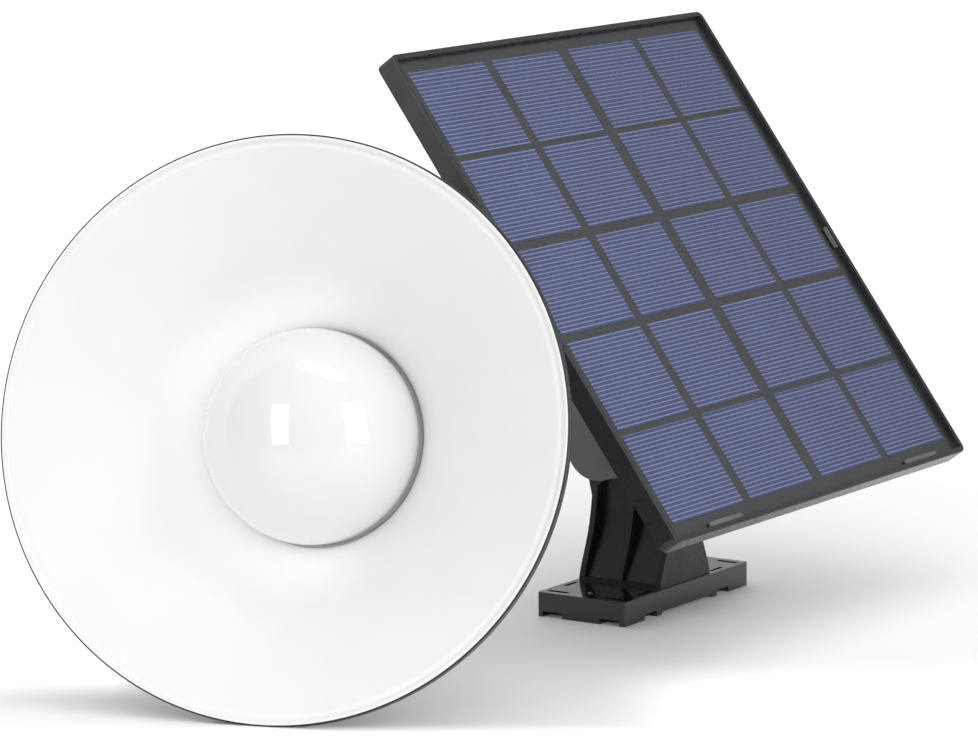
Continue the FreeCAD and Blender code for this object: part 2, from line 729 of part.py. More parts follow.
def solar_cells():
    array_wid, array_hgt = 227.0, 214.8
    left = panel_side - 0.3 - array_wid / 2
    high = centre_up + array_hgt / 2 + 0.2
    low = laminate_face - FILM_THK - cell_thk
    cells = []
    for i, (x0, x1) in enumerate(CELL_COLUMNS):
        for j, (y0, y1) in enumerate(CELL_ROWS):
            cells.append(box("cell_%d_%d" % (i, j),
                             (left + x0 * array_wid, high - y1 * array_hgt, low),
                             ((x1 - x0) * array_wid, (y1 - y0) * array_hgt, cell_thk)))
    return group("cells_group", cells)


def bus_ribbons():
    """Four ribbons on the back of the board."""
    inset = 12
    return group("ribbons_group",
                 [box("ribbon_%d" % i,
                      (panel_side + x, laminate_y + inset, laminate_back - RIBBON_THK),
                      (RIBBON_WID, laminate_hgt - inset * 2, RIBBON_THK))
                  for i, x in enumerate(RIBBON_X)])


def retaining_clips():
    """Two along the bottom lip and a notched one on the right lip."""
    clips = [box("clip_%d" % k,
                 (panel_side + x0, tray_low + lip_wid - CLIP_BITE, laminate_face),
                 (x1 - x0, CLIP_WID, 0.9))
             for k, (x0, x1) in enumerate(BOTTOM_CLIPS)]
    x = tray_right - lip_wid - (CLIP_WID - CLIP_BITE)
    blank = box("clip_2", (x, centre_up + SIDE_CLIP_START, laminate_face),
                (CLIP_WID, SIDE_CLIP_LEN, 1.1))
    notches = [box(name, (x - 0.1, centre_up + y, laminate_face + 0.2), (1.4, 1.6, 1.2))
               for name, y in (("clip_notch_1", -6.2), ("clip_notch_2", -2.6))]
    return group("clips_group", clips + [cut("clip_right", blank, notches)])


def jbox_block(name, wall, low, height):
    """A block centred on the junction box, inside its outline by the wall."""
    half_x, half_y = JBOX_HALF_X - wall, JBOX_HALF_Y - wall
    return box(name, (JBOX_X - half_x, JBOX_Y - half_y, low), (half_x * 2, half_y * 2, height))


def junction_box():
    outside = jbox_block("jbox_out", 0, jbox_end, JBOX_DEEP)
    inside = jbox_block("jbox_in", JBOX_WALL, jbox_end - 1.0, 11.5)
    wire_hole = cyl("jbox_wire_hole", WIRE_HOLE_RAD, 6.0, (JBOX_X, JBOX_Y, back_off - 3.0))
    gland_hole = cyl("jbox_gland_hole", 3.6, 6.0, (JBOX_X - 26.0, JBOX_Y, gland_z), ALONG_X)
    bosses = drills("jbox_boss", 2.9, 11.2, LID_SCREWS, jbox_end)
    pilots = drills("jbox_pilot", LID_SCREW_RAD, 7.0, LID_SCREWS, jbox_end - 0.5)
    shell = cut("jbox_shell", outside, [inside, wire_hole, gland_hole])
    return cut("jbox_final", fuse("jbox_bossed", [shell] + bosses), pilots)


def junction_lid():
    plate = jbox_block("jlid_plate", 0, jbox_end - LID_THK, LID_THK)
    return cut("jlid_cut", plate,
               drills("jlid_hole", 1.35, 4.0, LID_SCREWS, jbox_end - LID_THK - 1.0))


def lid_screws():
    return screw_set("lid_screws", LID_SCREWS, seat=jbox_end - LID_THK, shank=7.5,
                     head_rad=2.1, shank_rad=LID_SCREW_RAD, head_ht=1.4)


def terminal_board():
    thk = 1.2
    low = back_off - 5.5
    plate = box("tboard_plate", (JBOX_X - 14.0, JBOX_Y - 8.0, low), (28.0, 16.0, thk))
    posts = drills("tboard_post", 1.6, 2.8,
                   [(JBOX_X - 11.0, JBOX_Y), (JBOX_X + 11.0, JBOX_Y)], low + thk)
    return fuse("tboard_fuse", [plate] + posts)


def blocking_diode():
    y, z = JBOX_Y + 3.0, back_off - 7.9
    wire_thk = 0.5
    return fuse("diode_fuse",
                [cyl("diode_can", 2.2, 8.0, (JBOX_X - 4.0, y, z), ALONG_X),
                 cyl("diode_wire", wire_thk, 16.0, (JBOX_X - 8.0, y, z), ALONG_X),
                 cyl("diode_leg_1", wire_thk, 2.4, (JBOX_X - 7.6, y, z)),
                 cyl("diode_leg_2", wire_thk, 2.4, (JBOX_X + 7.6, y, z))])


def panel_gland():
    def stage(name, radius, length, start):
        return cyl(name, radius, length, (JBOX_X - start, JBOX_Y, gland_z), ALONG_X)

    solid = fuse("gland_fuse", [stage("gland_thread", 3.6, 5.0, 25.0),
                                stage("gland_flange", 5.6, 2.5, 25.6),
                                stage("gland_neck", 4.4, 6.0, 31.5)])
    return cut("gland_cut", solid, [stage("gland_bore", lead_rad + 0.05, 14.0, 33.0)])


# from the box centre and the gland's height: out of the gland and down behind the tray
LEAD_TAIL = [(-32.5, 0, 0), (-40.0, -5.5, -4.2), (-42.0, -16.0, -13.5),
             (-42.0, -28.0, -25.0), (-42.0, -40.0, -38.5)]


def panel_lead_tail():
    z0 = gland_z.value
    points = [(JBOX_X + x, JBOX_Y + y, z0 + z) for x, y, z in LEAD_TAIL]
    return shaped("panel_lead_tail",
                  swept(points, lead_rad.value, (JBOX_X - 19.5, JBOX_Y, z0)))


# =======================================================================================
# LOOSE LEAD behind the stand: run, coil, tie and plug
# =======================================================================================
PLUG_Z = 5.9
plug_x = coil_x - coil_rad - 0.8
plug_y = coil_y - 52.0

drop_x = JBOX_X + LEAD_TAIL[-1][0]
# x, y, z: down from behind the panel and along the floor to the coil
LEAD_RUN = [(drop_x, 30.5, 116.0), (drop_x, 31.5, 90.0), (drop_x, 33.0, 60.0),
            (drop_x + 0.5, 36.0, 32.0), (drop_x + 3.0, 42.5, 12.0), (-99.0, 55.0, 3.4),
            (-93.5, 75.0, 2.3), (-90.0, 97.0, 2.25)]
# x from the coil's -x side, y from its centre, z: from the coil to the plug
LEAD_END = [(-0.3, -12.0, 16.6), (-0.6, -26.0, 11.5), (-0.8, -36.0, 7.2),
            (-0.8, -44.0, 6.0), (-0.8, -52.0, PLUG_Z)]


def lead_coil():
    turns, pitch, low = 3.5, 4.35, 2.3
    x0, y0, radius = coil_x.value, coil_y.value, coil_rad.value
    count = int(turns * 12)
    points = list(LEAD_RUN)
    for i in range(count + 1):
        angle = 2 * math.pi * turns * i / count
        points.append((x0 + radius * math.cos(angle), y0 + radius * math.sin(angle),
                       low + pitch * turns * i / count))
    points += [(x0 - radius + x, y0 + y, z) for x, y, z in LEAD_END]
    return shaped("lead_coil", swept(points, lead_rad.value))


def coil_tie():
    """A strap round the coil's +y side, with a head and a tail."""
    far_y = coil_y + coil_rad
    inside = box("tie_in", (coil_x - 2.5, far_y - 2.6, 0.9), (5.0, 5.2, 18.2))
    outside = box("tie_out", (coil_x - 2.0, far_y - 3.4, 0.1), (4.0, 6.8, 19.8))
    head = box("tie_head", (coil_x - 2.6, far_y + 3.0, 9.0), (5.2, 4.0, 4.6))
    tail = box("tie_tail", (coil_x - 1.6, far_y + 6.0, 10.6), (3.2, 12.0, 0.9))
    return cut("tie_cut", fuse("tie_fuse", [outside, head, tail]), [inside])


def plug_stage(name, radius, length, back):
    """A cylinder along +Y that starts the given distance before the lead's end."""
    return cyl(name, radius, length, (plug_x, plug_y - back, PLUG_Z), ALONG_Y)


def plug_body():
    solid = fuse("plug_fuse", [plug_stage("plug_relief", 3.2, 9.0, 9.0),
                               plug_stage("plug_grip", 5.2, 20.0, 27.0)])
    return cut("plug_cut", solid, [plug_stage("plug_socket_bore", 2.4, 6.0, 28.0),
                                   plug_stage("plug_lead_bore", lead_rad, 6.5, 6.0)])


def plug_barrel():
    tube = fuse("barrel_tube", [plug_stage("barrel_contact", 2.75, 10.5, 37.5),
                                plug_stage("barrel_root", 2.4, 6.0, 28.0)])
    return cut("barrel_cut", tube, [plug_stage("barrel_bore", 1.05, 12.0, 38.0)])


# =======================================================================================
# LAMP, in the lamp's frame
# =======================================================================================
LED_SCREWS = polar(27.0, (90.0, 210.0, 330.0))
LED_SCREW_RAD = 1.2
HOUSING_SCREWS = polar(35.0, (150.0, 270.0, 390.0))
HOUSING_SCREW_RAD = 1.5
CAP_SCREWS = polar(36.2, (25.0, 155.0, 205.0, 335.0))
CAP_SCREW_RAD = 1.2
CAP_SINK = 1.9              # depth of the cap's screw sinks
WIRE_Y = -12.0              # wire pair between the boards
BUTTON_Y = 31.9
SWITCH_HALF = 3.0
LOOP_EYE = 6.4              # loop's ends behind the housing's rear edge
cap_top = house_back + 3.6
housing_floor = floor_deep + 3.0
led_board_front = floor_deep - 3.6
lamp_gland_z = floor_deep + 20.0
cell_z = house_back - 13.4
CELL_Y = (-9.6, 9.6)
control_z = floor_deep + 6.6

# radius, z: inside of the shade from the rim to the neck
SHADE_INNER = [(109.2, 1.0), (100.0, 5.9), (90.0, 11.5), (80.0, 17.6), (70.0, 24.5),
               (60.0, 32.4), (52.6, 38.6), (47.4, 43.0), (44.3, 46.8), (43.3, 51.5)]


def offset_points(points, distance):
    """Each point moved outward, square to the chord between its neighbours."""
    moved = []
    for i, (x, y) in enumerate(points):
        before = points[max(i - 1, 0)]
        after = points[min(i + 1, len(points) - 1)]
        dx, dy = after[0] - before[0], after[1] - before[1]
        chord = math.hypot(dx, dy)
        moved.append((x + dy / chord * distance, y - dx / chord * distance))
    return moved


def shade():
    rim, floor = rim_rad.value, floor_deep.value
    outer = offset_points(SHADE_INNER, shade_thk.value)
    back = floor + 2.0
    hole_rad = 20.0
    body = new_body("shade_body")
    turn(body, "shade_shell", (rim - 0.5, 0.0),
         [("arc", (rim - 0.15, 0.15), (rim, 0.5)), ("line", (rim, 4.6)),
          ("line", (rim - 1.4, 4.6)), ("line", (rim - 1.6, 2.6)),
          ("line", (outer[0][0] + 1.0, outer[0][1] + 0.2)), ("curve", *outer[1:]),
          ("line", (46.0, back)), ("line", (hole_rad, back)), ("line", (hole_rad, floor)),
          ("line", (SHADE_INNER[-1][0], floor)), ("line", SHADE_INNER[-1]),
          ("curve", *reversed(SHADE_INNER[:-1])),
          ("arc", (rim - 3.6, 0.35), (rim - 2.2, 0.0))])
    pad(body, "board_bosses", "board_boss_pad", XY, circles(LED_SCREWS, 3.0),
        floor_deep + 1.0, 5.0)
    pocket(body, "board_pilots", "board_pilot_cut", XY, circles(LED_SCREWS, LED_SCREW_RAD),
           floor_deep - 1, 6.5, True)
    pocket(body, "housing_screw_holes", "housing_screw_hole_cut", XY,
           circles(HOUSING_SCREWS, 1.6), floor_deep - 1, 6.0, True)
    return body


def diffuser_dome():
    """A domed shell with a straight skirt and a flange round its edge."""
    wall, skirt_up = 1.8, 8.2    # skirt starts behind the dome's centre
    radius, centre, floor = dome_rad.value, dome_deep.value, floor_deep.value
    inside = radius - wall
    skirt_out = math.sqrt(radius ** 2 - skirt_up ** 2)
    skirt_in = math.sqrt(inside ** 2 - skirt_up ** 2)
    flange_rad = skirt_out + 1.4
    skirt_z = centre + skirt_up
    diagonal = math.sqrt(0.5)
    body = new_body("diffuser_body")
    turn(body, "diffuser_shell", (0.0, centre - radius),
         [("arc", (radius * diagonal, centre - radius * diagonal), (skirt_out, skirt_z)),
          ("line", (skirt_out, floor - 3.0)), ("line", (flange_rad, floor - 3.0)),
          ("line", (flange_rad, floor - 1.0)), ("line", (skirt_in, floor - 1.0)),
          ("line", (skirt_in, skirt_z)),
          ("arc", (inside * diagonal, centre - inside * diagonal), (0.0, centre - inside))])
    return body


def diffuser_ring():
    return ring("diffuser_ring_r", 43.2, 42.0, 2.3, (0, 0, floor_deep - 5.4))


def diffuser_seal():
    return ring("diffuser_seal_r", 43.1, 38.4, 1.0, (0, 0, floor_deep - 1.0))


def drilled_disc(stem, thk, low, drill_low):
    """A disc with the LED screw holes and one hole for the wires."""
    disc = cyl(stem + "_disc", 31.0, thk, (0, 0, low))
    holes = drills(stem + "_hole", 1.3, 3.0, LED_SCREWS, drill_low)
    return cut(stem + "_cut", disc,
               holes + [cyl(stem + "_wire_hole", 3.0, 3.0, (0, WIRE_Y, drill_low))])


def heat_plate():
    return drilled_disc("heat", 2.0, floor_deep - 2.0, floor_deep - 2.5)


def led_board():
    return drilled_disc("led", 1.6, led_board_front, floor_deep - 4.5)


# rings of LED chips: number, radius, angle of the first
CHIP_RINGS = ((6, 8.5, 15.0), (10, 17.0, 9.0), (12, 24.0, 15.0))


def led_chips():
    length, width, thk = 2.8, 3.5, 0.7
    chips = []
    for count, radius, first in CHIP_RINGS:
        for i in range(count):
            chip = box("chip_%d_%d" % (count, i), (0, 0, 0), (length, width, thk))
            spin = Rotation(Vector(0, 0, 1), 360.0 * i / count + first)
            corner = spin.multVec(Vector(radius - length / 2, -width / 2, 0))
            corner.z = led_board_front.value - thk
            chip.Placement = Placement(corner, spin)
            chips.append(chip)
    return group("chips_group", chips)


def ir_receiver():
    block = box("ir_block", (-2.6, -2.6, floor_deep - 7.4), (5.2, 5.2, 3.8))
    return fuse("ir_fuse", [block, cyl("ir_lens", 1.9, 1.6, (0, 0, floor_deep - 8.6))])


def board_screws():
    return screw_set("board_screws", LED_SCREWS, seat=led_board_front, shank=8.4,
                     head_rad=2.4, shank_rad=LED_SCREW_RAD, head_ht=1.6)


def battery_housing():
    wall, floor_thk = 2.0, 2.4
    boss_ht = 4.0
    hole_rad = house_rad - 10.0
    body = new_body("housing_body")
    turn(body, "housing_shell", (hole_rad, housing_floor),
         [("line", (house_rad, housing_floor)), ("line", (house_rad, house_back)),
          ("line", (house_rad - wall, house_back)),
          ("line", (house_rad - wall, housing_floor + floor_thk)),
          ("line", (hole_rad, housing_floor + floor_thk))])
    pad(body, "housing_bosses", "housing_boss_pad", XY, circles(HOUSING_SCREWS, 3.2),
        housing_floor + 1.0, 8.0)
    pocket(body, "housing_pilots", "housing_pilot_cut", XY,
           circles(HOUSING_SCREWS, HOUSING_SCREW_RAD), housing_floor - 1, 9.0, True)
    pad(body, "cap_bosses", "cap_boss_pad", XY, circles(CAP_SCREWS, 3.4),
        house_back - boss_ht, boss_ht)
    pocket(body, "cap_pilots", "cap_pilot_cut", XY, circles(CAP_SCREWS, CAP_SCREW_RAD),
           house_back, 3.6)
    # gland hole in the lower wall
    pocket(body, "gland_hole", "gland_hole_cut", XZ, [("circle", 0, lamp_gland_z, 4.0)],
           45.0, 10.0)
    return body


def housing_seal():
    blank = ring("housing_seal_r", 40.6, 31.4, 1.0, (0, 0, floor_deep + 2.0))
    return cut("housing_seal_cut", blank,
               drills("seal_hole", 1.8, 3.0, HOUSING_SCREWS, floor_deep + 1.0))


def housing_screws():
    return screw_set("housing_screws", HOUSING_SCREWS, seat=floor_deep, shank=9.0,
                     head_rad=2.7, shank_rad=HOUSING_SCREW_RAD, head_ht=1.8)


def end_cap():
    """A rounded disc with a spigot, two loop ears and a hole for the button."""
    ear_start, ear_end, ear_half = 15.7, 20.5, 3.6
    body = new_body("cap_body")
    turn(body, "cap_disc", (0.0, house_back),
         [("line", (house_rad, house_back)), ("line", (house_rad, house_back + 1.6)),
          ("arc", (house_rad - 0.75, house_back + 3.0), (house_rad - 2.2, cap_top)),
          ("line", (0.0, cap_top))])
    pad(body, "cap_spigot", "cap_spigot_pad", XY,
        [("circle", 0, 0, 22.0), ("circle", 0, 0, 20.5)], house_back, 1.4, True)
    pad(body, "loop_ears", "loop_ear_pad", XY,
        [rect(-ear_end, -ear_half, -ear_start, ear_half),
         rect(ear_start, -ear_half, ear_end, ear_half)], house_back + 3.0, 6.2)
    pocket(body, "loop_bores", "loop_bore_cut", YZ,
           [("circle", 0, house_back + LOOP_EYE, wire_rad + 0.05)], -25, 50.0, True)
    pocket(body, "button_hole", "button_hole_cut", XY, [("circle", 0, BUTTON_Y, 5.6)],
           cap_top, 6.0)
    pocket(body, "cap_screw_holes", "cap_screw_hole_cut", XY, circles(CAP_SCREWS, 1.4),
           cap_top, 4.0)
    pocket(body, "cap_screw_sinks", "cap_screw_sink_cut", XY, circles(CAP_SCREWS, 2.7),
           cap_top, CAP_SINK)
    return body


def cap_screws():
    return screw_set("cap_screws", CAP_SCREWS, seat=cap_top - CAP_SINK, shank=5.0,
                     head_rad=2.4, shank_rad=CAP_SCREW_RAD, head_ht=1.7, down=True)


# x, y of the loop's centre line: two points make a line, three an arc
LOOP_PATH = [[(-20.3, 0), (-15.0, 0)],
             [(-15.0, 0), (-13.0, -1.0), (-12.2, -3.0)],
             [(-12.2, -3.0), (-12.2, -12.0)],
             [(-12.2, -12.0), (0, -24.2), (12.2, -12.0)],
             [(12.2, -12.0), (12.2, -3.0)],
             [(12.2, -3.0), (13.0, -1.0), (15.0, 0)],
             [(15.0, 0), (20.3, 0)]]


def hanging_loop():
    """Round wire with its ends in the ears, folded down against the cap."""
    z = (house_back + LOOP_EYE).value
    edges = []
    for points in LOOP_PATH:
        stops = [Vector(x, y, z) for x, y in points]
        curve = Part.LineSegment(*stops) if len(stops) == 2 else Part.Arc(*stops)
        edges.append(curve.toShape())
    start = Vector(LOOP_PATH[0][0][0], 0, z)
    section = Part.Wire([Part.Circle(start, Vector(1, 0, 0), wire_rad.value).toShape()])
    return shaped("hanging_loop", Part.Wire(edges).makePipeShell([section], True, True, 2))


def power_button():
    # name, radius, length, start from the housing's rear edge
    stages = (("button_top", 5.5, 4.6, 0.6), ("button_skirt", 6.6, 1.2, -1.4),
              ("button_neck", 5.5, 2.2, -1.0), ("button_stem", 1.6, 1.4, -2.6))
    return fuse("button_fuse", [cyl(name, radius, length, (0, BUTTON_Y, house_back + start))
                                for name, radius, length, start in stages])


def tact_switch():
    case = box("switch_case", (-SWITCH_HALF, BUTTON_Y - SWITCH_HALF, house_back - 8.0),
               (SWITCH_HALF * 2, SWITCH_HALF * 2, 3.4))
    return fuse("switch_fuse",
                [case, cyl("switch_plunger", 1.6, 0.6, (0, BUTTON_Y, house_back - 4.6))])


def switch_board():
    return box("switch_board_plate", (-8.0, 26.2, house_back - 9.6), (16.0, 10.0, 1.6))


def lithium_cells():
    return group("lithium_cells_group",
                 [cyl(name, cell_rad, cell_len, (-cell_len / 2, y, cell_z), ALONG_X)
                  for name, y in zip(("cell_left", "cell_right"), CELL_Y)])


def cell_tabs():
    """One tab across both cells at the -x end, one on each cell at the +x end."""
    thk, height = 0.4, 6.0
    low = cell_z - height / 2
    return group("tabs_group", [
        box("tab_a", (-cell_len / 2 - thk, -13.0, low), (thk, 26.0, height)),
        box("tab_b", (cell_len / 2, -13.0, low), (thk, 6.5, height)),
        box("tab_c", (cell_len / 2, 6.5, low), (thk, 6.5, height))])


def cell_cradle():
    block = box("cradle_block", (-27.4, -17.0, cell_z + 3.0), (54.8, 34.0, 8.0))
    beds = [cyl("cradle_cut_%d" % i, cell_rad + 0.05, 70.0, (-35.0, y, cell_z), ALONG_X)
            for i, y in enumerate(CELL_Y)]
    window = box("cradle_window", (-20.0, -8.0, cell_z + 2.0), (40.0, 16.0, 20.0))
    return cut("cradle_final", block, beds + [window])


def control_board():
    return box("control_plate", (-20.0, -14.0, control_z), (40.0, 28.0, 1.4))


# name, corner x and y, then length, width and height
BLOCKS = [("ic", -8.0, -4.0, 6.0, 5.0, 1.4), ("ic2", 4.0, 2.0, 5.0, 4.0, 1.4),
          ("conn", -17.0, -12.5, 7.5, 4.6, 3.0), ("res1", 2.0, -9.0, 3.2, 1.6, 0.7),
          ("res2", -3.5, 7.0, 3.2, 1.6, 0.7)]
# name, centre x and y, then radius and height
CANS = [("cap1", 13.0, -8.0, 2.5, 2.4), ("coil1", -14.0, 8.0, 3.0, 2.4)]


def board_components():
    """Blocks and cans on the front of the control board."""
    blocks = [box(name, (x, y, control_z - height), (length, width, height))
              for name, x, y, length, width, height in BLOCKS]
    cans = [cyl(name, radius, height, (x, y, control_z - height))
            for name, x, y, radius, height in CANS]
    return group("components_group", blocks + cans)


def led_wires():
    """A pair of wires from the LED board to the control board."""
    floor = floor_deep.value
    pair = [swept([(x, WIRE_Y, floor - 4.4), (x, WIRE_Y, floor + 1.0),
                   (x, WIRE_Y + 0.1, floor + 3.5), (x, WIRE_Y + 0.2, control_z.value)], 0.65)
            for x in (-1.1, 1.1)]
    return shaped("led_wires", Part.makeCompound(pair))


def lamp_gland():
    """A cable gland in the housing's lower wall."""
    def stage(name, radius, length, y):
        return cyl(name, radius, length, (0, y, lamp_gland_z), ALONG_Y)

    solid = fuse("lamp_gland_fuse", [stage("lg_thread", 4.0, 4.5, -42.5),
                                     stage("lg_flange", 6.0, 2.4, -43.4),
                                     stage("lg_neck", 4.8, 7.0, -50.0)])
    return cut("lamp_gland_cut", solid, [stage("lg_bore", lead_rad + 0.1, 16.0, -52.0)])


# =======================================================================================
# LAMP LEAD AND SOCKET, in the world frame
# =======================================================================================
def below_gland(y):
    """World place of a point on the lamp gland's axis."""
    return LAMP.multVec(Vector(0, y, lamp_gland_z.value))


gland_mouth = below_gland(-52)
SOCKET_Z = 8.2
socket_x = gland_mouth.x - 2.6
socket_y = gland_mouth.y + 36.0


def lamp_lead():
    x, y, z = gland_mouth
    points = [tuple(below_gland(-51.0)), (x - 1.4, y + 1.4, z - 8.0),
              (x - 2.2, y + 7.0, 19.0), (socket_x, y + 17.0, 10.8),
              (socket_x, y + 29.0, SOCKET_Z), (socket_x, socket_y, SOCKET_Z)]
    return shaped("lamp_lead", swept(points, lead_rad.value, tuple(below_gland(-38.3))))


def socket_stage(name, radius, length, start):
    """A cylinder along +Y that starts the given distance past the lead's end."""
    return cyl(name, radius, length, (socket_x, socket_y + start, SOCKET_Z), ALONG_Y)


def lamp_socket():
    solid = fuse("socket_fuse", [socket_stage("socket_relief", 3.2, 8.0, 0),
                                 socket_stage("socket_grip", 5.8, 21.0, 7.0)])
    return cut("socket_cut", solid, [socket_stage("socket_bore", 2.85, 13.0, 16.0),
                                     socket_stage("socket_lead_bore", lead_rad, 6.0, -0.5)])


def socket_pin():
    return socket_stage("socket_pin_rod", 0.95, 10.5, 16.0)


# =======================================================================================
# Build and export: each function's name is its piece's label
# =======================================================================================
PIECES = [
    (WORLD, [base_plate, column, column_screws, friction_washers]),
    (PANEL, [hinge_yoke, captive_nut, clamp_bolt, spring_washer, clamp_knob, yoke_screws,
             panel_tray, backing_board, cover_film, solar_cells, bus_ribbons,
             retaining_clips, junction_box, junction_lid, lid_screws, terminal_board,
             blocking_diode, panel_gland, panel_lead_tail]),
    (WORLD, [lead_coil, coil_tie, plug_body, plug_barrel]),
    (LAMP, [shade, diffuser_dome, diffuser_ring, diffuser_seal, heat_plate, led_board,
            led_chips, ir_receiver, board_screws, battery_housing, housing_seal,
            housing_screws, end_cap, cap_screws, hanging_loop, power_button, tact_switch,
            switch_board, lithium_cells, cell_tabs, cell_cradle, control_board,
            board_components, led_wires, lamp_gland]),
    (WORLD, [lamp_lead, lamp_socket, socket_pin]),
]


def build(make, frame):
    """Make a piece and set it in its frame; a lone primitive is wrapped, since its own
    placement is already in use."""
    obj = make()
    label = make.__name__
    if obj.TypeId in ("Part::Box", "Part::Cylinder"):
        obj = group(label + "_piece", [obj])
    obj.Label = label
    obj.Placement = frame
    return obj


nodes = [build(make, frame) for frame, makers in PIECES for make in makers]
doc.recompute()

bad = []
for obj in doc.Objects:
    faults = [state for state in obj.State if state in ("Invalid", "Error")]
    if faults:
        bad.append((obj.Name, faults))
for obj in nodes:
    if obj.Shape.isNull() or not obj.Shape.isValid() or not obj.Shape.Solids:
        bad.append((obj.Label, "shape"))
if bad:
    raise RuntimeError("not built: %s" % bad)

os.makedirs("parts", exist_ok=True)
for obj in nodes:
    obj.Shape.exportStep("parts/%s.step" % obj.Label)
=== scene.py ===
"""Solar lamp: a tilted panel on a stand, with its lead coiled loose on the floor, and a
round battery lamp beside it.

The stand is on the floor, z = 0. The panel tilts about an axis along x and its cells face
up and towards -y. The lamp lies at -x with its open face towards -x.
"""
import bpy
import bmesh
import math
import numpy as np
from mathutils import Matrix, Vector


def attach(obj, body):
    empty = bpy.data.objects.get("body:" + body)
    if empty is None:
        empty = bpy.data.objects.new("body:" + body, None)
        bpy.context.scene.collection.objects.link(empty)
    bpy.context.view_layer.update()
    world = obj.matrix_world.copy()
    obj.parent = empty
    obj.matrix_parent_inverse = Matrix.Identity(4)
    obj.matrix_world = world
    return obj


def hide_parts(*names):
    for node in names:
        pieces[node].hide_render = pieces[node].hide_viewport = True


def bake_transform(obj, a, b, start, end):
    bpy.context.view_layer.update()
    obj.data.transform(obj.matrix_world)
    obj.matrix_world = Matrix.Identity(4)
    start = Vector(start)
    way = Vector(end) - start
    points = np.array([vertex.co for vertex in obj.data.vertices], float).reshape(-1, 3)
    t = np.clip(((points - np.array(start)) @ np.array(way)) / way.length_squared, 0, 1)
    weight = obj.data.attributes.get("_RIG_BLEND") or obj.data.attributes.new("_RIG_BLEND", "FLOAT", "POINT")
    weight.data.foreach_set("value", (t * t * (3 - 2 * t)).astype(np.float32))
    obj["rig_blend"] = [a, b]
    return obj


MM = 0.001


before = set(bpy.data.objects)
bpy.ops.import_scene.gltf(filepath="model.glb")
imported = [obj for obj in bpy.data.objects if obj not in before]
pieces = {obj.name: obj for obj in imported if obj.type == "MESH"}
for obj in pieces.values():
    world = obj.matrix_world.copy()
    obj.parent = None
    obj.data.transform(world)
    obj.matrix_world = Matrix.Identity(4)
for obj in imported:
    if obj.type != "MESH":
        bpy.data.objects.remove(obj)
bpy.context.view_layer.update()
for piece in pieces.values():
    piece.data.materials.clear()
scene = bpy.context.scene

# --- frames shared by the shapes and the materials ---

# panel: tilt axis, direction up the slope, and direction out of the cells' face
PANEL_TILT = math.radians(54.0)
PIVOT_Y, PIVOT_Z = 14.6, 67.6  # mm
PIVOT = Vector((0.0, PIVOT_Y, PIVOT_Z)) * MM
UP_SLOPE = Vector((0.0, math.cos(PANEL_TILT), math.sin(PANEL_TILT)))
PANEL_NORMAL = Vector((0.0, -math.sin(PANEL_TILT), math.cos(PANEL_TILT)))

# lamp: origin at the rim's centre, z to the back of the lamp
LAMP_AZIMUTH, LAMP_ELEVATION = math.radians(-161.3), math.radians(13.9)
LAMP_CENTRE = Vector((-247.0, 11.0, 110.7)) * MM
LAMP_Z = -Vector((math.cos(LAMP_AZIMUTH) * math.cos(LAMP_ELEVATION),
                  math.sin(LAMP_AZIMUTH) * math.cos(LAMP_ELEVATION),
                  math.sin(LAMP_ELEVATION)))
LAMP_X = Vector((-LAMP_Z.y, LAMP_Z.x, 0)).normalized()
LAMP_Y = LAMP_Z.cross(LAMP_X)


def placed(origin, x_axis, y_axis, z_axis):
    """The matrix of a frame with these axes at this origin."""
    return Matrix.Translation(origin) @ Matrix((x_axis, y_axis, z_axis)).transposed().to_4x4()


LAMP = placed(LAMP_CENTRE, LAMP_X, LAMP_Y, LAMP_Z)


# =====================================================================================
# materials
# =====================================================================================
NOISE_LOW, NOISE_HIGH = 0.3, 0.7  # the part of a noise's range that carries its variation


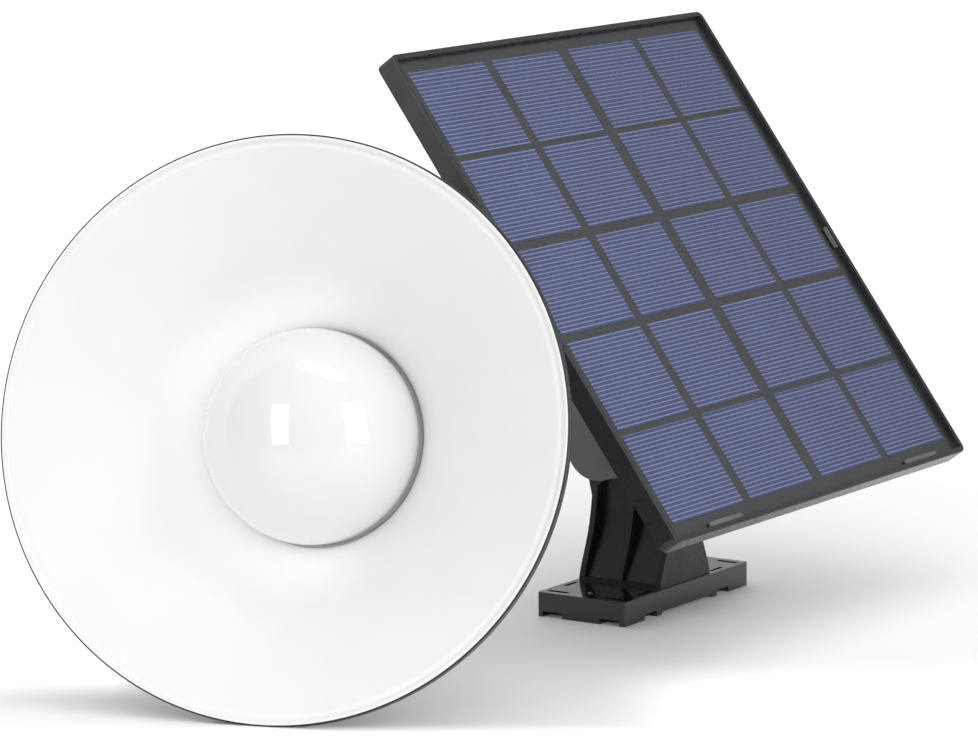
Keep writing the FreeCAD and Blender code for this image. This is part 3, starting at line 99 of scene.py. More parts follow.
class Shading:
    """A small builder for one node tree. Inputs take a socket to link or a plain value."""

    def __init__(self, tree):
        self.tree = tree
        self.coordinates = None

    def feed(self, socket, value):
        if isinstance(value, bpy.types.NodeSocket):
            self.tree.links.new(value, socket)
        elif socket.type == "RGBA":
            socket.default_value = (*value, 1.0)
        else:
            socket.default_value = value

    def node(self, kind, inputs=None, **settings):
        node = self.tree.nodes.new("ShaderNode" + kind)
        for key, value in settings.items():
            setattr(node, key, value)
        for key, value in (inputs or {}).items():
            self.feed(node.inputs[key], value)
        return node

    def position(self):
        if self.coordinates is None:
            self.coordinates = self.node("TexCoord")
        return self.coordinates.outputs["Object"]

    def noise(self, scale, detail=4.0, rough=0.55, vector=None):
        return self.node("TexNoise", {
            "Vector": vector or self.position(), "Scale": scale, "Detail": detail,
            "Roughness": rough}).outputs["Fac"]

    def tint(self, noise, dark, light):
        """A colour that varies with the noise."""
        ramp = self.node("ValToRGB", {"Fac": noise})
        stops = ((NOISE_LOW, dark), (NOISE_HIGH, light))
        for element, (place, colour) in zip(ramp.color_ramp.elements, stops):
            element.position = place
            element.color = (*colour, 1.0)
        return ramp.outputs["Color"]

    def math(self, operation, *values):
        return self.node("Math", dict(enumerate(values)), operation=operation).outputs[0]

    def vector_math(self, operation, *values):
        node = self.node("VectorMath", dict(enumerate(values)), operation=operation)
        return node.outputs["Value" if operation in ("DOT_PRODUCT", "LENGTH") else "Vector"]

    def remap(self, value, source, target, smooth=False):
        """Carries the range source = (min, max) over to the range target."""
        return self.node("MapRange", {
            "Value": value, "From Min": source[0], "From Max": source[1],
            "To Min": target[0], "To Max": target[1],
        }, interpolation_type="SMOOTHSTEP" if smooth else "LINEAR").outputs["Result"]

    def vary(self, noise, target):
        return self.remap(noise, (NOISE_LOW, NOISE_HIGH), target)

    def mix_colour(self, factor, a, b):
        # 6, 7 and output 2 are the colour sockets of the Mix node
        return self.node("Mix", {0: factor, 6: a, 7: b}, data_type="RGBA").outputs[2]

    def bump(self, height, strength, distance, normal=None):
        inputs = {"Strength": strength, "Distance": distance, "Height": height}
        if normal is not None:
            inputs["Normal"] = normal
        return self.node("Bump", inputs).outputs["Normal"]

    def principled(self, **inputs):
        spaced = {key.replace("_", " "): value for key, value in inputs.items()}
        return self.node("BsdfPrincipled", spaced).outputs[0]

    def surface(self, shader):
        self.node("OutputMaterial", {"Surface": shader})


materials = {}


def new_material(name):
    material = bpy.data.materials.new(name)
    material.use_nodes = True
    material.node_tree.nodes.clear()
    materials[name] = material
    return Shading(material.node_tree)


def plastic(name, dark, light, rough, grain, grain_bump, coat):
    m = new_material(name)
    colour = m.tint(m.noise(scale=60.0, detail=5.0), dark, light)
    roughness = m.vary(m.noise(scale=240.0), rough)
    grained = m.bump(m.noise(scale=grain, detail=2.0, rough=0.5),
                     strength=grain_bump, distance=0.12 * MM)
    waved = m.bump(m.noise(scale=38.0, detail=2.0, rough=0.5),
                   strength=0.05, distance=0.15 * MM, normal=grained)
    m.surface(m.principled(Base_Color=colour, Roughness=roughness, IOR=1.5, Normal=waved,
                           Coat_Weight=coat, Coat_Roughness=0.12))


def metal(name, dark, light, rough, brush):
    m = new_material(name)
    stretched = m.node("Mapping", {"Vector": m.position(), "Scale": brush}).outputs[0]
    brushed = m.noise(scale=1.0, detail=5.0, rough=0.6, vector=stretched)
    m.surface(m.principled(Base_Color=m.tint(brushed, dark, light), Metallic=1.0,
                           Roughness=m.vary(brushed, rough),
                           Normal=m.bump(brushed, strength=0.12, distance=0.08 * MM)))


def enamel(name, dark, light, rough, coat):
    m = new_material(name)
    waved = m.bump(m.noise(scale=420.0, detail=2.0, rough=0.5),
                   strength=0.035, distance=0.3 * MM)
    m.surface(m.principled(Base_Color=m.tint(m.noise(scale=18.0, detail=3.0), dark, light),
                           Roughness=m.vary(m.noise(scale=90.0), rough), Normal=waved,
                           Coat_Weight=coat, Coat_Roughness=0.08, IOR=1.5))


def opal():
    """Milky dome with a faint painted glow, a small emission that brightens it."""
    m = new_material("opal_diffuser")
    colour = m.tint(m.noise(scale=14.0, detail=3.0), (0.86, 0.86, 0.86), (0.90, 0.90, 0.895))
    m.surface(m.principled(
        Base_Color=colour, IOR=1.5,
        Roughness=m.vary(m.noise(scale=120.0, detail=3.0), (0.05, 0.09)),
        Normal=m.bump(m.noise(scale=60.0, detail=2.0), strength=0.02, distance=0.4 * MM),
        Subsurface_Weight=0.35, Subsurface_Radius=(0.006, 0.006, 0.006), Subsurface_Scale=1.0,
        Coat_Weight=0.4, Coat_Roughness=0.04,
        # painted glow: the emission only brightens the dome's tone
        Emission_Color=(1.0, 1.0, 1.0), Emission_Strength=0.045))


FINGER_PITCH = 1.89 * MM  # between the printed lines on the cells


def silicon():
    """Blue cells with crystal grain and fine printed lines across the panel's width."""
    m = new_material("solar_cell_silicon")
    up_slope = m.vector_math("DOT_PRODUCT", m.vector_math("SUBTRACT", m.position(), PIVOT),
                             UP_SLOPE)
    phase = m.math("FRACT", m.math("MULTIPLY", up_slope, 1.0 / FINGER_PITCH))
    off_line = m.math("ABSOLUTE", m.math("SUBTRACT", phase, 0.5))
    line = m.remap(off_line, (0.10, 0.19), (1.0, 0.0), smooth=True)
    patches = m.noise(scale=22.0, detail=3.0, rough=0.6)
    crystals = m.node("TexVoronoi", {"Scale": 420.0, "Vector": m.position()})
    grain = m.node("SeparateColor", {0: crystals.outputs["Color"]}).outputs[0]
    base = m.tint(patches, (0.028, 0.038, 0.110), (0.036, 0.049, 0.135))
    grained = m.mix_colour(m.math("MULTIPLY", grain, 0.16), base, (0.07, 0.09, 0.215))
    lined = m.mix_colour(m.math("MULTIPLY", line, 0.62), grained, (0.26, 0.275, 0.385))
    m.surface(m.principled(Base_Color=lined,
                           Roughness=m.remap(line, (0.0, 1.0), (0.28, 0.42)),
                           Normal=m.bump(line, strength=0.25, distance=0.03 * MM),
                           IOR=1.6, Metallic=0.0, Specular_IOR_Level=0.07))


def clear_film():
    """Nearly clear, with a faint gloss that grows at a slant."""
    m = new_material("clear_cover_film")
    waved = m.bump(m.noise(scale=900.0, detail=2.0), strength=0.04, distance=0.1 * MM)
    clear = m.node("BsdfTransparent", {"Color": (0.97, 0.975, 0.98)})
    gloss = m.node("BsdfGlossy", {"Roughness": 0.16, "Normal": waved})
    fresnel = m.node("Fresnel", {"IOR": 1.45})
    m.surface(m.node("MixShader", {0: m.math("MULTIPLY", fresnel.outputs[0], 0.12),
                                   1: clear.outputs[0], 2: gloss.outputs[0]}).outputs[0])


# name, darker colour, lighter colour, roughness range, grain scale, grain bump, clear coat
PLASTICS = (
    ("tray_black_plastic", (0.012, 0.012, 0.013), (0.02, 0.02, 0.021), (0.24, 0.34),
     2600, 0.06, 0.25),
    ("stand_black_plastic", (0.012, 0.012, 0.013), (0.019, 0.019, 0.02), (0.24, 0.34),
     2600, 0.05, 0),
    ("base_gloss_plastic", (0.008, 0.008, 0.009), (0.013, 0.013, 0.014), (0.1, 0.16),
     2600, 0.02, 1),
    ("clip_satin_plastic", (0.09, 0.09, 0.09), (0.13, 0.13, 0.13), (0.3, 0.4), 2600, 0.08, 0),
    # painted light: the yoke is the stand's black plastic, made grey so its face reads as lit
    ("yoke_grey_black_plastic", (0.075, 0.075, 0.076), (0.092, 0.092, 0.093), (0.42, 0.52),
     2600, 0.1, 0),
    ("housing_black_plastic", (0.014, 0.014, 0.015), (0.024, 0.024, 0.025), (0.36, 0.5),
     2600, 0.2, 0),
    ("rubber_black", (0.012, 0.012, 0.012), (0.022, 0.022, 0.022), (0.6, 0.75), 1500, 0.25, 0),
    ("cable_black_pvc", (0.012, 0.012, 0.012), (0.02, 0.02, 0.02), (0.38, 0.5), 1800, 0.12, 0),
    ("chip_black_epoxy", (0.015, 0.015, 0.016), (0.025, 0.025, 0.026), (0.5, 0.65),
     4000, 0.2, 0),
    ("tie_nylon", (0.70, 0.70, 0.66), (0.80, 0.80, 0.77), (0.35, 0.5), 2600, 0.08, 0),
    ("washer_fibre", (0.24, 0.09, 0.04), (0.42, 0.19, 0.09), (0.7, 0.85), 900, 0.35, 0),
    ("ring_white_plastic", (0.58, 0.58, 0.58), (0.68, 0.68, 0.675), (0.4, 0.5), 2600, 0.08, 0),
    ("backing_board_dark", (0.015, 0.017, 0.018), (0.022, 0.024, 0.025), (0.4, 0.5),
     2600, 0.05, 0),
    ("pcb_green_mask", (0.012, 0.11, 0.035), (0.02, 0.16, 0.05), (0.25, 0.35), 1200, 0.08, 0.3),
    ("pcb_white_mask", (0.78, 0.78, 0.77), (0.84, 0.84, 0.83), (0.3, 0.4), 1200, 0.05, 0.2),
    ("led_phosphor_gel", (0.80, 0.62, 0.10), (0.90, 0.74, 0.22), (0.2, 0.3), 3000, 0.05, 0),
    ("battery_wrap_blue", (0.02, 0.16, 0.38), (0.03, 0.22, 0.48), (0.2, 0.3), 600, 0.04, 0),
    ("wire_red_silicone", (0.42, 0.02, 0.02), (0.55, 0.03, 0.03), (0.4, 0.5), 2600, 0.18, 0),
)
# name, darker colour, lighter colour, roughness range, noise scale along x, y and z
METALS = (
    ("steel_zinc", (0.52, 0.53, 0.55), (0.70, 0.70, 0.71), (0.22, 0.4), (900, 60, 60)),
    ("nickel_plate", (0.62, 0.59, 0.54), (0.76, 0.73, 0.68), (0.12, 0.22), (900, 60, 60)),
    ("tinned_copper", (0.66, 0.42, 0.28), (0.80, 0.62, 0.48), (0.2, 0.36), (900, 60, 60)),
    ("aluminium_plate", (0.70, 0.70, 0.71), (0.82, 0.82, 0.83), (0.25, 0.4), (40, 900, 40)),
)
# name, darker colour, lighter colour, roughness range, clear coat
ENAMELS = (
    ("shade_white_enamel", (0.86, 0.86, 0.865), (0.89, 0.89, 0.892), (0.36, 0.46), 0.04),
    ("shade_black_enamel", (0.011, 0.011, 0.012), (0.018, 0.018, 0.019), (0.3, 0.42), 0.15),
)
for make, rows in ((plastic, PLASTICS), (metal, METALS), (enamel, ENAMELS)):
    for row in rows:
        make(*row)
opal()
silicon()
clear_film()

PIECES_BY_MATERIAL = {
    "base_gloss_plastic": "base_plate",
    "stand_black_plastic": "column clamp_knob",
    "yoke_grey_black_plastic": "hinge_yoke",
    "tray_black_plastic": "panel_tray junction_box junction_lid panel_gland",
    "clip_satin_plastic": "retaining_clips",
    "housing_black_plastic": "battery_housing end_cap cell_cradle lamp_gland",
    "rubber_black": "diffuser_seal housing_seal power_button",
    "cable_black_pvc": "lead_coil plug_body panel_lead_tail lamp_lead lamp_socket",
    "chip_black_epoxy": "blocking_diode ir_receiver board_components tact_switch",
    "tie_nylon": "coil_tie",
    "washer_fibre": "friction_washers",
    "ring_white_plastic": "diffuser_ring",
    "backing_board_dark": "backing_board",
    "pcb_green_mask": "terminal_board control_board switch_board",
    "pcb_white_mask": "led_board",
    "led_phosphor_gel": "led_chips",
    "battery_wrap_blue": "lithium_cells",
    "wire_red_silicone": "led_wires",
    "steel_zinc": "column_screws captive_nut yoke_screws lid_screws clamp_bolt spring_washer "
                  "board_screws housing_screws cap_screws hanging_loop",
    "nickel_plate": "plug_barrel cell_tabs socket_pin",
    "tinned_copper": "bus_ribbons",
    "aluminium_plate": "heat_plate",
    "shade_white_enamel": "shade",
    "opal_diffuser": "diffuser_dome",
    "solar_cell_silicon": "solar_cells",
    "clear_cover_film": "cover_film",
}
material_of = {name: material for material, names in PIECES_BY_MATERIAL.items()
               for name in names.split()}
for name, piece in pieces.items():
    piece.data.materials.append(materials[material_of[name]])


def add_painted_throat_light(material, strength):
    """Painted light: an emission on the enamel round the dome that brightens the shade near the throat, most
    on the camera's left.
    """
    camera_left = (-0.5529, 0.8332, 0.0067)
    m = Shading(material.node_tree)
    offset = m.vector_math("SUBTRACT", m.position(), LAMP_CENTRE)
    radius = m.vector_math("LENGTH", m.vector_math("CROSS_PRODUCT", offset, LAMP_Z))
    leftness = m.math("DIVIDE", m.vector_math("DOT_PRODUCT", offset, camera_left), radius)
    near_dome = m.remap(radius, (0.043, 0.070), (1.0, 0.0), smooth=True)
    by_side = m.remap(leftness, (-0.95, -0.1), (0.1, 1.0), smooth=True)
    glow = m.math("MULTIPLY", m.math("MULTIPLY", near_dome, by_side), strength)
    bsdf = next(node for node in m.tree.nodes if node.type == "BSDF_PRINCIPLED")
    m.feed(bsdf.inputs["Emission Strength"], glow)
    m.feed(bsdf.inputs["Emission Color"], (1.0, 1.0, 1.0))


# painted light: emission on the enamel round the dome
add_painted_throat_light(materials["shade_white_enamel"], strength=0.18)


# =====================================================================================
# mesh helpers
# =====================================================================================
def add_mesh(name, verts, faces, material_names, body, smooth=True):
    mesh = bpy.data.meshes.new(name)
    mesh.from_pydata([tuple(v) for v in verts], [], faces)
    mesh.validate()
    mesh.update()
    for material_name in material_names:
        mesh.materials.append(materials[material_name])
    for polygon in mesh.polygons:
        polygon.use_smooth = smooth
    obj = bpy.data.objects.new(name, mesh)
    scene.collection.objects.link(obj)
    if body:
        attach(obj, body)
    return obj


def spline(points, samples):
    """Natural cubic through the points, with this many samples per span."""
    p = np.array(points, float)
    count = len(p)
    along = np.r_[0, np.cumsum(np.sqrt(((p[1:] - p[:-1]) ** 2).sum(1)))]
    system = np.zeros((count, count))
    right_side = np.zeros((count, p.shape[1]))
    system[0, 0] = system[-1, -1] = 1
    for i in range(1, count - 1):
        before, after = along[i] - along[i - 1], along[i + 1] - along[i]
        system[i, i - 1:i + 2] = before, 2 * (before + after), after
        right_side[i] = 6 * ((p[i + 1] - p[i]) / after - (p[i] - p[i - 1]) / before)
    bend = np.linalg.solve(system, right_side)
    curve = []
    for i in range(count - 1):
        span = along[i + 1] - along[i]
        for j in range(samples):
            t = span * j / samples
            w1, w0 = t / span, 1 - t / span
            curve.append(w0 * p[i] + w1 * p[i + 1] + ((w0 ** 3 - w0) * bend[i]
                         + (w1 ** 3 - w1) * bend[i + 1]) * span * span / 6)
    curve.append(p[-1])
    return np.array(curve)


def tangents(curve):
    steps = np.gradient(curve, axis=0)
    return steps / np.linalg.norm(steps, axis=1)[:, None]


def lathe(name, profile, material_names, bands=None, segments=256, closed=True):
    """Turns (radius, z) points in mm about the lamp's axis.

    bands gives the material index of the band that starts at each point.
    """
    verts, faces, face_materials, rings = [], [], [], []
    for radius, z in profile:
        start = len(verts)
        if radius < 1e-6:
            rings.append([start] * segments)
            verts.append(LAMP @ Vector((0, 0, z * MM)))
            continue
        rings.append(list(range(start, start + segments)))
        for s in range(segments):
            a = 2 * math.pi * s / segments
            verts.append(LAMP @ Vector((radius * MM * math.cos(a), radius * MM * math.sin(a),
                                        z * MM)))
    for i in range(len(profile) if closed else len(profile) - 1):
        ring, following = rings[i], rings[(i + 1) % len(profile)]
        for s in range(segments):
            t = (s + 1) % segments
            # a corner on the axis appears once, which leaves a triangle
            faces.append(list(dict.fromkeys((ring[s], ring[t], following[t], following[s]))))
            face_materials.append(bands[i] if bands else 0)
    obj = add_mesh(name, verts, faces, material_names, "lamp")
    for polygon, index in zip(obj.data.polygons, face_materials):
        polygon.material_index = index
    bm = bmesh.new()
    bm.from_mesh(obj.data)
    bmesh.ops.recalc_face_normals(bm, faces=bm.faces)
    bm.to_mesh(obj.data)
    bm.free()
    return obj


def tube(name, points, radius, material_name, samples, segments):
    """A capped round tube through points in mm; it must not set off straight up or down."""
    curve = spline(points, samples)
    directions = tangents(curve)
    across = np.cross(directions[0], np.array([0, 0, 1.0]))
    verts, faces = [], []
    for centre, direction in zip(curve, directions):
        # carry the cross-section along without twist
        across = across - direction * (across @ direction)
        across /= np.linalg.norm(across)
        other = np.cross(direction, across)
        for s in range(segments):
            a = 2 * math.pi * s / segments
            verts.append(centre + radius * (math.cos(a) * across + math.sin(a) * other))
    last = (len(curve) - 1) * segments
    for start in range(0, last, segments):
        for s in range(segments):
            t = (s + 1) % segments
            faces.append([start + s, start + t, start + segments + t, start + segments + s])
    faces.append(list(reversed(range(segments))))
    faces.append([last + s for s in range(segments)])
    return add_mesh(name, np.array(verts) * MM, faces, [material_name], None)


# =====================================================================================
# lamp: shade and dome as smooth turned shells (mm)
# =====================================================================================
RIM_RADIUS = 114.0
SHADE_WALL = 1.8
THROAT_FLOOR = 60.0  # depth of the floor behind the rim
# white face of the shade from the crease near the rim to the throat: radius, z
SHADE_FACE = [
    (109.2, 1.0), (100.0, 5.9), (90.0, 11.5), (80.0, 17.6), (70.0, 24.5),
    (60.0, 32.4), (52.6, 38.6), (47.4, 43.0), (44.3, 46.8), (43.3, 51.5),
]
LIP_ROUND = 2.4  # width of the curve outside the crease
EDGE_ROUND = 0.7
THROAT_HOLE = 20.0


def build_shade():
    white, black = 0, 1
    face = spline(SHADE_FACE, samples=8)
    direction = tangents(face)
    back = face + np.stack([direction[:, 1], -direction[:, 0]], 1) * SHADE_WALL
    crease_r, crease_z = SHADE_FACE[0]
    throat_r = SHADE_FACE[-1][0]
    turns = np.linspace(0, math.pi / 2, 7)
    profile, bands = [], []

    def add(points, band):
        for r, z in points:
            profile.append((float(r), float(z)))
            bands.append(band)

    add(reversed(face), white)
    add([(crease_r + LIP_ROUND * math.sin(a), crease_z * math.cos(a)) for a in turns[1:]], white)
    add([(RIM_RADIUS - 0.85, 0.0)], white)
    add([(RIM_RADIUS - EDGE_ROUND + EDGE_ROUND * math.sin(a),
          EDGE_ROUND - EDGE_ROUND * math.cos(a)) for a in turns], black)
    # the rim's outer wall and its step in to the back of the shade: inset, z
    rim_back = ((0.0, 4.2), (0.3, 4.6), (1.2, 4.6), (1.5, 4.3), (1.7, 2.9))
    add([(RIM_RADIUS - inset, z) for inset, z in rim_back], black)
    add(back, black)
    add([(46.0, THROAT_FLOOR + 1.6), (45.6, THROAT_FLOOR + 2.0),
         (THROAT_HOLE, THROAT_FLOOR + 2.0)], black)
    add([(THROAT_HOLE, THROAT_FLOOR), (throat_r, THROAT_FLOOR)], white)
    shade = lathe("shade_visual", profile,
                  ["shade_white_enamel", "shade_black_enamel"], bands)
    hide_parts("shade")


DOME_RADIUS = 42.5
DOME_WALL = 1.8
DOME_CENTRE_Z = 41.8
DOME_PAST_CENTRE = 8.2  # how far the sphere goes on behind its centre


def build_dome():
    inside = DOME_RADIUS - DOME_WALL
    neck_out = math.sqrt(DOME_RADIUS ** 2 - DOME_PAST_CENTRE ** 2)
    neck_in = math.sqrt(inside ** 2 - DOME_PAST_CENTRE ** 2)
    end_angle = math.atan2(DOME_PAST_CENTRE, neck_out) + math.pi / 2

    def sphere(radius, start, end):
        return [(radius * math.sin(a), DOME_CENTRE_Z - radius * math.cos(a))
                for a in np.linspace(start, end, 60)]

    # flange at the foot of the neck: outset from the neck, height off the throat floor
    flange = ((0.0, 3.2), (0.2, 3.0), (1.2, 3.0), (1.4, 2.8), (1.4, 1.2), (1.2, 1.0))
    profile = sphere(DOME_RADIUS, 0, end_angle)
    profile += [(neck_out + outset, THROAT_FLOOR - height) for outset, height in flange]
    profile.append((neck_in, THROAT_FLOOR - 1.0))
    profile += sphere(inside, end_angle, 0)
    dome = lathe("diffuser_visual", profile, ["opal_diffuser"], closed=False)
    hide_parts("diffuser_dome")


# =====================================================================================
# clear film over the cells
# =====================================================================================
FILM_GAP = 0.08 * MM
FILM_MIN_THICKNESS = 0.06 * MM
FILM_CORNER = 1.2 * MM


def rounded_rectangle(x0, x1, y0, y1, radius, steps=6):
    corners = ((x1 - radius, y1 - radius, 0), (x0 + radius, y1 - radius, 90),
               (x0 + radius, y0 + radius, 180), (x1 - radius, y0 + radius, 270))
    points = []
    for x, y, first in corners:
        for i in range(steps + 1):
            a = math.radians(first + 90 * i / steps)
            points.append((x + radius * math.cos(a), y + radius * math.sin(a)))
    return points


def build_film():
    """A slab that stands just off the cells."""
    pivot, up, normal = np.array(PIVOT), np.array(UP_SLOPE), np.array(PANEL_NORMAL)
    film = np.array([v.co for v in pieces["cover_film"].data.vertices])
    slopes, heights = (film - pivot) @ up, (film - pivot) @ normal
    cells_top = max(float((np.array(v.co) - pivot) @ normal)
                    for v in pieces["solar_cells"].data.vertices)
    top = float(heights.max())
    bottom = min(max(float(heights.min()), cells_top + FILM_GAP), top - FILM_MIN_THICKNESS)
    outline = rounded_rectangle(float(film[:, 0].min()), float(film[:, 0].max()),
                                float(slopes.min()), float(slopes.max()), FILM_CORNER)
    verts = [pivot + np.array([x, 0, 0]) + up * slope + normal * height
             for height in (bottom, top) for x, slope in outline]
    n = len(outline)
    faces = [list(reversed(range(n))), [n + i for i in range(n)]]
    faces += [[i, (i + 1) % n, n + (i + 1) % n, n + i] for i in range(n)]
    cover = add_mesh("cover_film_visual", verts, faces, ["clear_cover_film"], "panel",
                     smooth=False)
    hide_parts("cover_film")


# =====================================================================================
# the panel's lead: from the gland down to the floor, then the loose coil (mm)
# =====================================================================================
# by the panel: x, distance up the slope, distance along the normal
LEAD_ON_PANEL = [
    (-81.5, 95.0, 60.75), (-88.0, 95.0, 60.75), (-94.5, 95.0, 60.75), (-102.0, 89.5, 56.55),
    (-104.0, 79.0, 47.25), (-104.0, 67.0, 35.75), (-104.0, 55.0, 22.25),
]
# down to the floor: x, y, z
LEAD_DROP = [
    (-104.0, 30.5, 116.0), (-104.0, 31.5, 90.0), (-104.0, 33.0, 60.0), (-103.5, 36.0, 32.0),
    (-101.0, 42.5, 12.0), (-99.0, 55.0, 3.4), (-93.5, 75.0, 2.3), (-90.0, 97.0, 2.25),
]
# from the top of the coil back down to its free end: x, y, z
LEAD_END = [
    (-161.3, 106.0, 16.6), (-161.6, 92.0, 11.5), (-161.8, 82.0, 7.2), (-161.8, 74.0, 6.0),
    (-161.8, 66.0, 5.9),
]
LEAD_RADIUS = 2.0
COIL_X, COIL_Y, COIL_Z = -125.0, 118.0, 2.3
COIL_RADIUS = 36.0
COIL_RISE = 4.35  # per turn
COIL_STEPS = 12  # per turn
COIL_TURNS = 3.5


def build_lead():
    points = [(x, PIVOT_Y + slope * UP_SLOPE.y + height * PANEL_NORMAL.y,
               PIVOT_Z + slope * UP_SLOPE.z + height * PANEL_NORMAL.z)
              for x, slope, height in LEAD_ON_PANEL]
    points += LEAD_DROP
    for i in range(int(COIL_TURNS * COIL_STEPS) + 1):
        a = 2 * math.pi * i / COIL_STEPS
        points.append((COIL_X + COIL_RADIUS * math.cos(a), COIL_Y + COIL_RADIUS * math.sin(a),
                       COIL_Z + COIL_RISE * i / COIL_STEPS))
    points += LEAD_END
    lead = tube("panel_lead_visual", points, LEAD_RADIUS, "cable_black_pvc",
                samples=7, segments=20)
    # it bends between panel and stand
    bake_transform(lead, "panel", "stand", start=(-0.104, 0.0215, 0.166), end=(-0.103, 0.036, 0.03))
    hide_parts("panel_lead_tail", "lead_coil")


# =====================================================================================
# rounded edges on the CAD pieces: bevel width in mm
# =====================================================================================
EDGE_WIDTHS = {
    "panel_tray": 0.25, "base_plate": 0.5, "column": 0.6, "hinge_yoke": 0.7,
    "battery_housing": 0.4, "end_cap": 0.4, "junction_box": 0.5, "junction_lid": 0.4,
    "clamp_knob": 0.4, "plug_body": 0.3, "lamp_socket": 0.3, "retaining_clips": 0.15,
}


def soften(obj, width):
    """Rounds the edges with modifiers; the piece's own vertices stay as they are."""
    weld = obj.modifiers.new("weld", "WELD")
    weld.merge_threshold = 1e-6
    bevel = obj.modifiers.new("edge_round", "BEVEL")
    bevel.width = width
    bevel.segments = 2
    bevel.limit_method = "ANGLE"
    bevel.angle_limit = math.radians(34.0)
    bevel.use_clamp_overlap = True
    weighted = obj.modifiers.new("weighted", "WEIGHTED_NORMAL")
    weighted.weight = 60
    weighted.keep_sharp = False
    attributes = obj.data.attributes
    if "custom_normal" in attributes:
        attributes.remove(attributes["custom_normal"])
    for polygon in obj.data.polygons:
        polygon.use_smooth = True


build_shade()
build_dome()
build_film()
build_lead()
for name, width in EDGE_WIDTHS.items():
    soften(pieces[name], width * MM)

# =====================================================================================
# camera
# =====================================================================================
FORWARD = Vector((0.8218, 0.5467, -0.1606)).normalized()
DOWN = Vector((-0.1375, -0.0833, -0.987))
DOWN = (DOWN - FORWARD * DOWN.dot(FORWARD)).normalized()
RIGHT = DOWN.cross(FORWARD).normalized()
# the world's origin as the camera sees it: to the right, down, forward
ORIGIN_IN_VIEW = Vector((66.6, 97.6, 1990.0)) * MM


def build_camera():
    data = bpy.data.cameras.new("cam")
    camera = bpy.data.objects.new("cam", data)
    scene.collection.objects.link(camera)
    place = -(RIGHT * ORIGIN_IN_VIEW.x + DOWN * ORIGIN_IN_VIEW.y + FORWARD * ORIGIN_IN_VIEW.z)
    camera.matrix_world = placed(place, RIGHT, -DOWN, -FORWARD)
    data.sensor_width = 36.0
    data.lens = 170.59141104
    data.clip_start, data.clip_end = 0.05, 50.0
    scene.camera = camera


# =====================================================================================
# floor and world
# =====================================================================================
def floor_fade_and_shadow_wipe(m):
    """How far the floor has gone over to plain white, 0 to 1: far off into the backdrop, and near the
    camera, left of the lamp and at the front right as painted light that wipes out the cast shadows there.
    """
    def ramp(value, source, target=(0.0, 1.0)):
        return m.remap(value, source, target, smooth=True)

    falling = (1.0, 0.0)
    from_centre = m.vector_math("SUBTRACT", m.position(), (-0.08, 0.0, 0.0))
    far = ramp(m.vector_math("LENGTH", from_centre), (0.34, 0.62))
    # metres over the floor away from the camera, and to the camera's right
    depth = m.vector_math("DOT_PRODUCT", m.position(), (0.8326, 0.5539, 0.0))
    side = m.vector_math("DOT_PRODUCT", m.position(), (0.5539, -0.8326, 0.0))
    # near, left and near_right are painted light: plain white where cast shadows would show
    near = ramp(depth, (-0.245, -0.222), falling)
    left = m.math("MULTIPLY", ramp(depth, (-0.185, -0.135)),
                  ramp(side, (-0.22, -0.19), falling))
    near_right = m.math("MULTIPLY", ramp(depth, (-0.19, -0.11), falling),
                        ramp(side, (-0.03, 0.03)))
    return m.math("MAXIMUM", m.math("MAXIMUM", far, near),
                  m.math("MAXIMUM", left, near_right))


def floor_material():
    """White floor, painted lighter for the camera so its cast shadows read paler, that fades into the
    backdrop for the camera only.
    """
    m = new_material("floor_white")

    def camera_ray():
        return m.node("LightPath").outputs["Is Camera Ray"]

    def white(dark, light):
        return m.tint(m.noise(scale=3.0, detail=2.0), (dark,) * 3, (light,) * 3)

    # painted light: camera rays see a lighter white than bounced light does, so the shadows read paler
    colour = m.mix_colour(camera_ray(), white(0.84, 0.86), white(0.96, 0.98))
    paint = m.principled(Base_Color=colour, Roughness=0.5)
    backdrop = m.node("Emission", {"Strength": 1.08}).outputs[0]
    seen = camera_ray()
    faded = m.node("MixShader", {0: m.math("MULTIPLY", floor_fade_and_shadow_wipe(m), seen),
                                 1: paint, 2: backdrop}).outputs[0]
    # painted light: a small camera-only emission that pales the shadows further
    painted_shadow_lift = m.node("Emission", {"Strength": m.math("MULTIPLY", seen, 0.05)}).outputs[0]
    m.surface(m.node("AddShader", {0: faded, 1: painted_shadow_lift}).outputs[0])


def build_floor():
    floor_material()
    half = 8
    mesh = bpy.data.meshes.new("floor")
    mesh.from_pydata([(-half, -half, 0), (half, -half, 0), (half, half, 0), (-half, half, 0)],
                     [], [(0, 1, 2, 3)])
    mesh.materials.append(materials["floor_white"])
    floor = bpy.data.objects.new("floor", mesh)
    scene.collection.objects.link(floor)


def build_world():
    """White room, a little brighter overhead and darker in reflections."""
    world = bpy.data.worlds.new("studio")
    scene.world = world
    world.use_nodes = True
    world.cycles.sampling_method = "NONE"
    m = Shading(world.node_tree)
    rays = m.node("LightPath").outputs
    direction = m.node("TexCoord").outputs["Generated"]
    height = m.node("SeparateXYZ", {0: direction}).outputs["Z"]
    room = m.remap(height, (-0.1, 0.9), (0.84, 1.02))
    gloss_dim = m.math("MULTIPLY_ADD", rays["Is Glossy Ray"], -0.55, 1.0)
    # the camera itself sees an even 1.05
    strength = m.node("Mix", {0: rays["Is Camera Ray"], 2: m.math("MULTIPLY", room, gloss_dim),
                              3: 1.05}).outputs[0]
    background = m.tree.nodes["Background"]
    m.feed(background.inputs["Color"], (1, 1, 1))
    m.feed(background.inputs["Strength"], strength)


# =====================================================================================
# lights
# =====================================================================================
def from_view(to_right, up, to_camera):
    return RIGHT * to_right - DOWN * up - FORWARD * to_camera


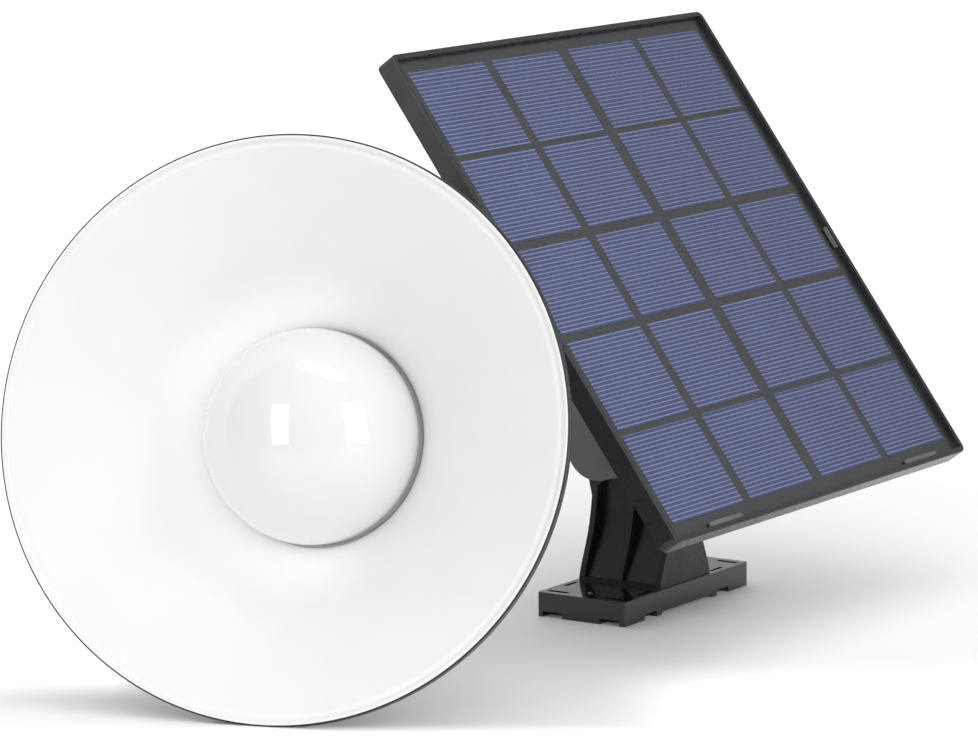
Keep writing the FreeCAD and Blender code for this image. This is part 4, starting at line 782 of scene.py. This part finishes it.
def area(name, direction, distance, size, power, gloss=True, diffuse=True,
         target=(-0.12, 0.0, 0.11), roll=None, shape="RECTANGLE"):
    """A soft box that lies in this direction from its target and faces it.

    With a roll, in degrees, its width is turned from the camera's right; otherwise it's level.
    """
    facing = direction.normalized()
    light = bpy.data.lights.new(name, "AREA")
    light.shape = shape
    light.size, light.size_y = size
    light.energy = power
    obj = bpy.data.objects.new(name, light)
    scene.collection.objects.link(obj)
    obj.visible_glossy = gloss
    obj.visible_diffuse = diffuse
    obj.visible_camera = False
    if roll is None:
        x_axis = Vector((0, 0, 1)).cross(facing).normalized()
        y_axis = facing.cross(x_axis)
    else:
        level = (RIGHT - facing * facing.dot(RIGHT)).normalized()
        upright = facing.cross(level)
        a = math.radians(roll)
        x_axis = level * math.cos(a) + upright * math.sin(a)
        y_axis = upright * math.cos(a) - level * math.sin(a)
    obj.matrix_world = placed(Vector(target) + facing * distance, x_axis, y_axis, facing)
    return obj


def piece_collection(name, piece_names):
    collection = bpy.data.collections.new(name)
    for piece_name in piece_names.split():
        collection.objects.link(pieces[piece_name])
    return collection


def build_lights():
    # seen only in reflections
    area("gloss_left", from_view(-0.541, 0.202, 0.816), distance=1.6, size=(0.5, 1.1),
         power=6.0, diffuse=False, roll=0.0)
    area("gloss_right", from_view(0.716, 0.243, 0.654), distance=1.6, size=(0.72, 1.12),
         power=9.0, diffuse=False, roll=15.0)
    area("gloss_top", from_view(0.133, 0.962, 0.233), distance=1.6, size=(1.3, 0.6),
         power=6.5, diffuse=False, roll=-15.0, shape="ELLIPSE")
    # not seen in reflections
    area("fill_front", from_view(0.32, 0.25, 0.91), distance=2.4, size=(1.3, 1.3),
         power=5.4, gloss=False)
    area("fill_right", from_view(0.72, 0.4, 0.56), distance=1.8, size=(1.0, 1.2),
         power=5.0, gloss=False)
    area("key_above", from_view(0.12, 0.95, 0.1), distance=1.9, size=(1.8, 1.6),
         power=2.0, gloss=False)
    rim = area("rim_back_left", Vector((-0.72, 0.55, 0.5)), distance=1.4, size=(0.8, 0.8),
               power=11.0)
    rim.light_linking.receiver_collection = piece_collection(
        "rim_lit", "hinge_yoke clamp_knob clamp_bolt")
    # the tray's edge is lit from its upper corner and falls off down the side
    edge = area("tray_edge", Vector((-0.8, 0.35, 0.5)), distance=0.26, size=(0.16, 0.16),
                power=1.4, gloss=False, target=(-0.122, 0.08, 0.26))
    edge.light_linking.receiver_collection = piece_collection("tray_lit", "panel_tray")
    # a fill for the panel's face alone, which the lamp doesn't shade
    fill = area("panel_fill", Vector((-0.62, -0.62, 0.48)), distance=0.6, size=(0.3, 0.3),
                power=2.1, gloss=False, target=(-0.07, -0.03, 0.15))
    fill.light_linking.receiver_collection = piece_collection(
        "panel_face", "solar_cells backing_board panel_tray cover_film retaining_clips")
    fill.light_linking.blocker_collection = piece_collection(
        "panel_shadows", "panel_tray column hinge_yoke base_plate")


build_camera()
build_floor()
build_world()
build_lights()

scene.view_settings.view_transform = "Standard"
scene.view_settings.look = "None"
scene.view_settings.exposure = 0.0
scene.view_settings.gamma = 1.0
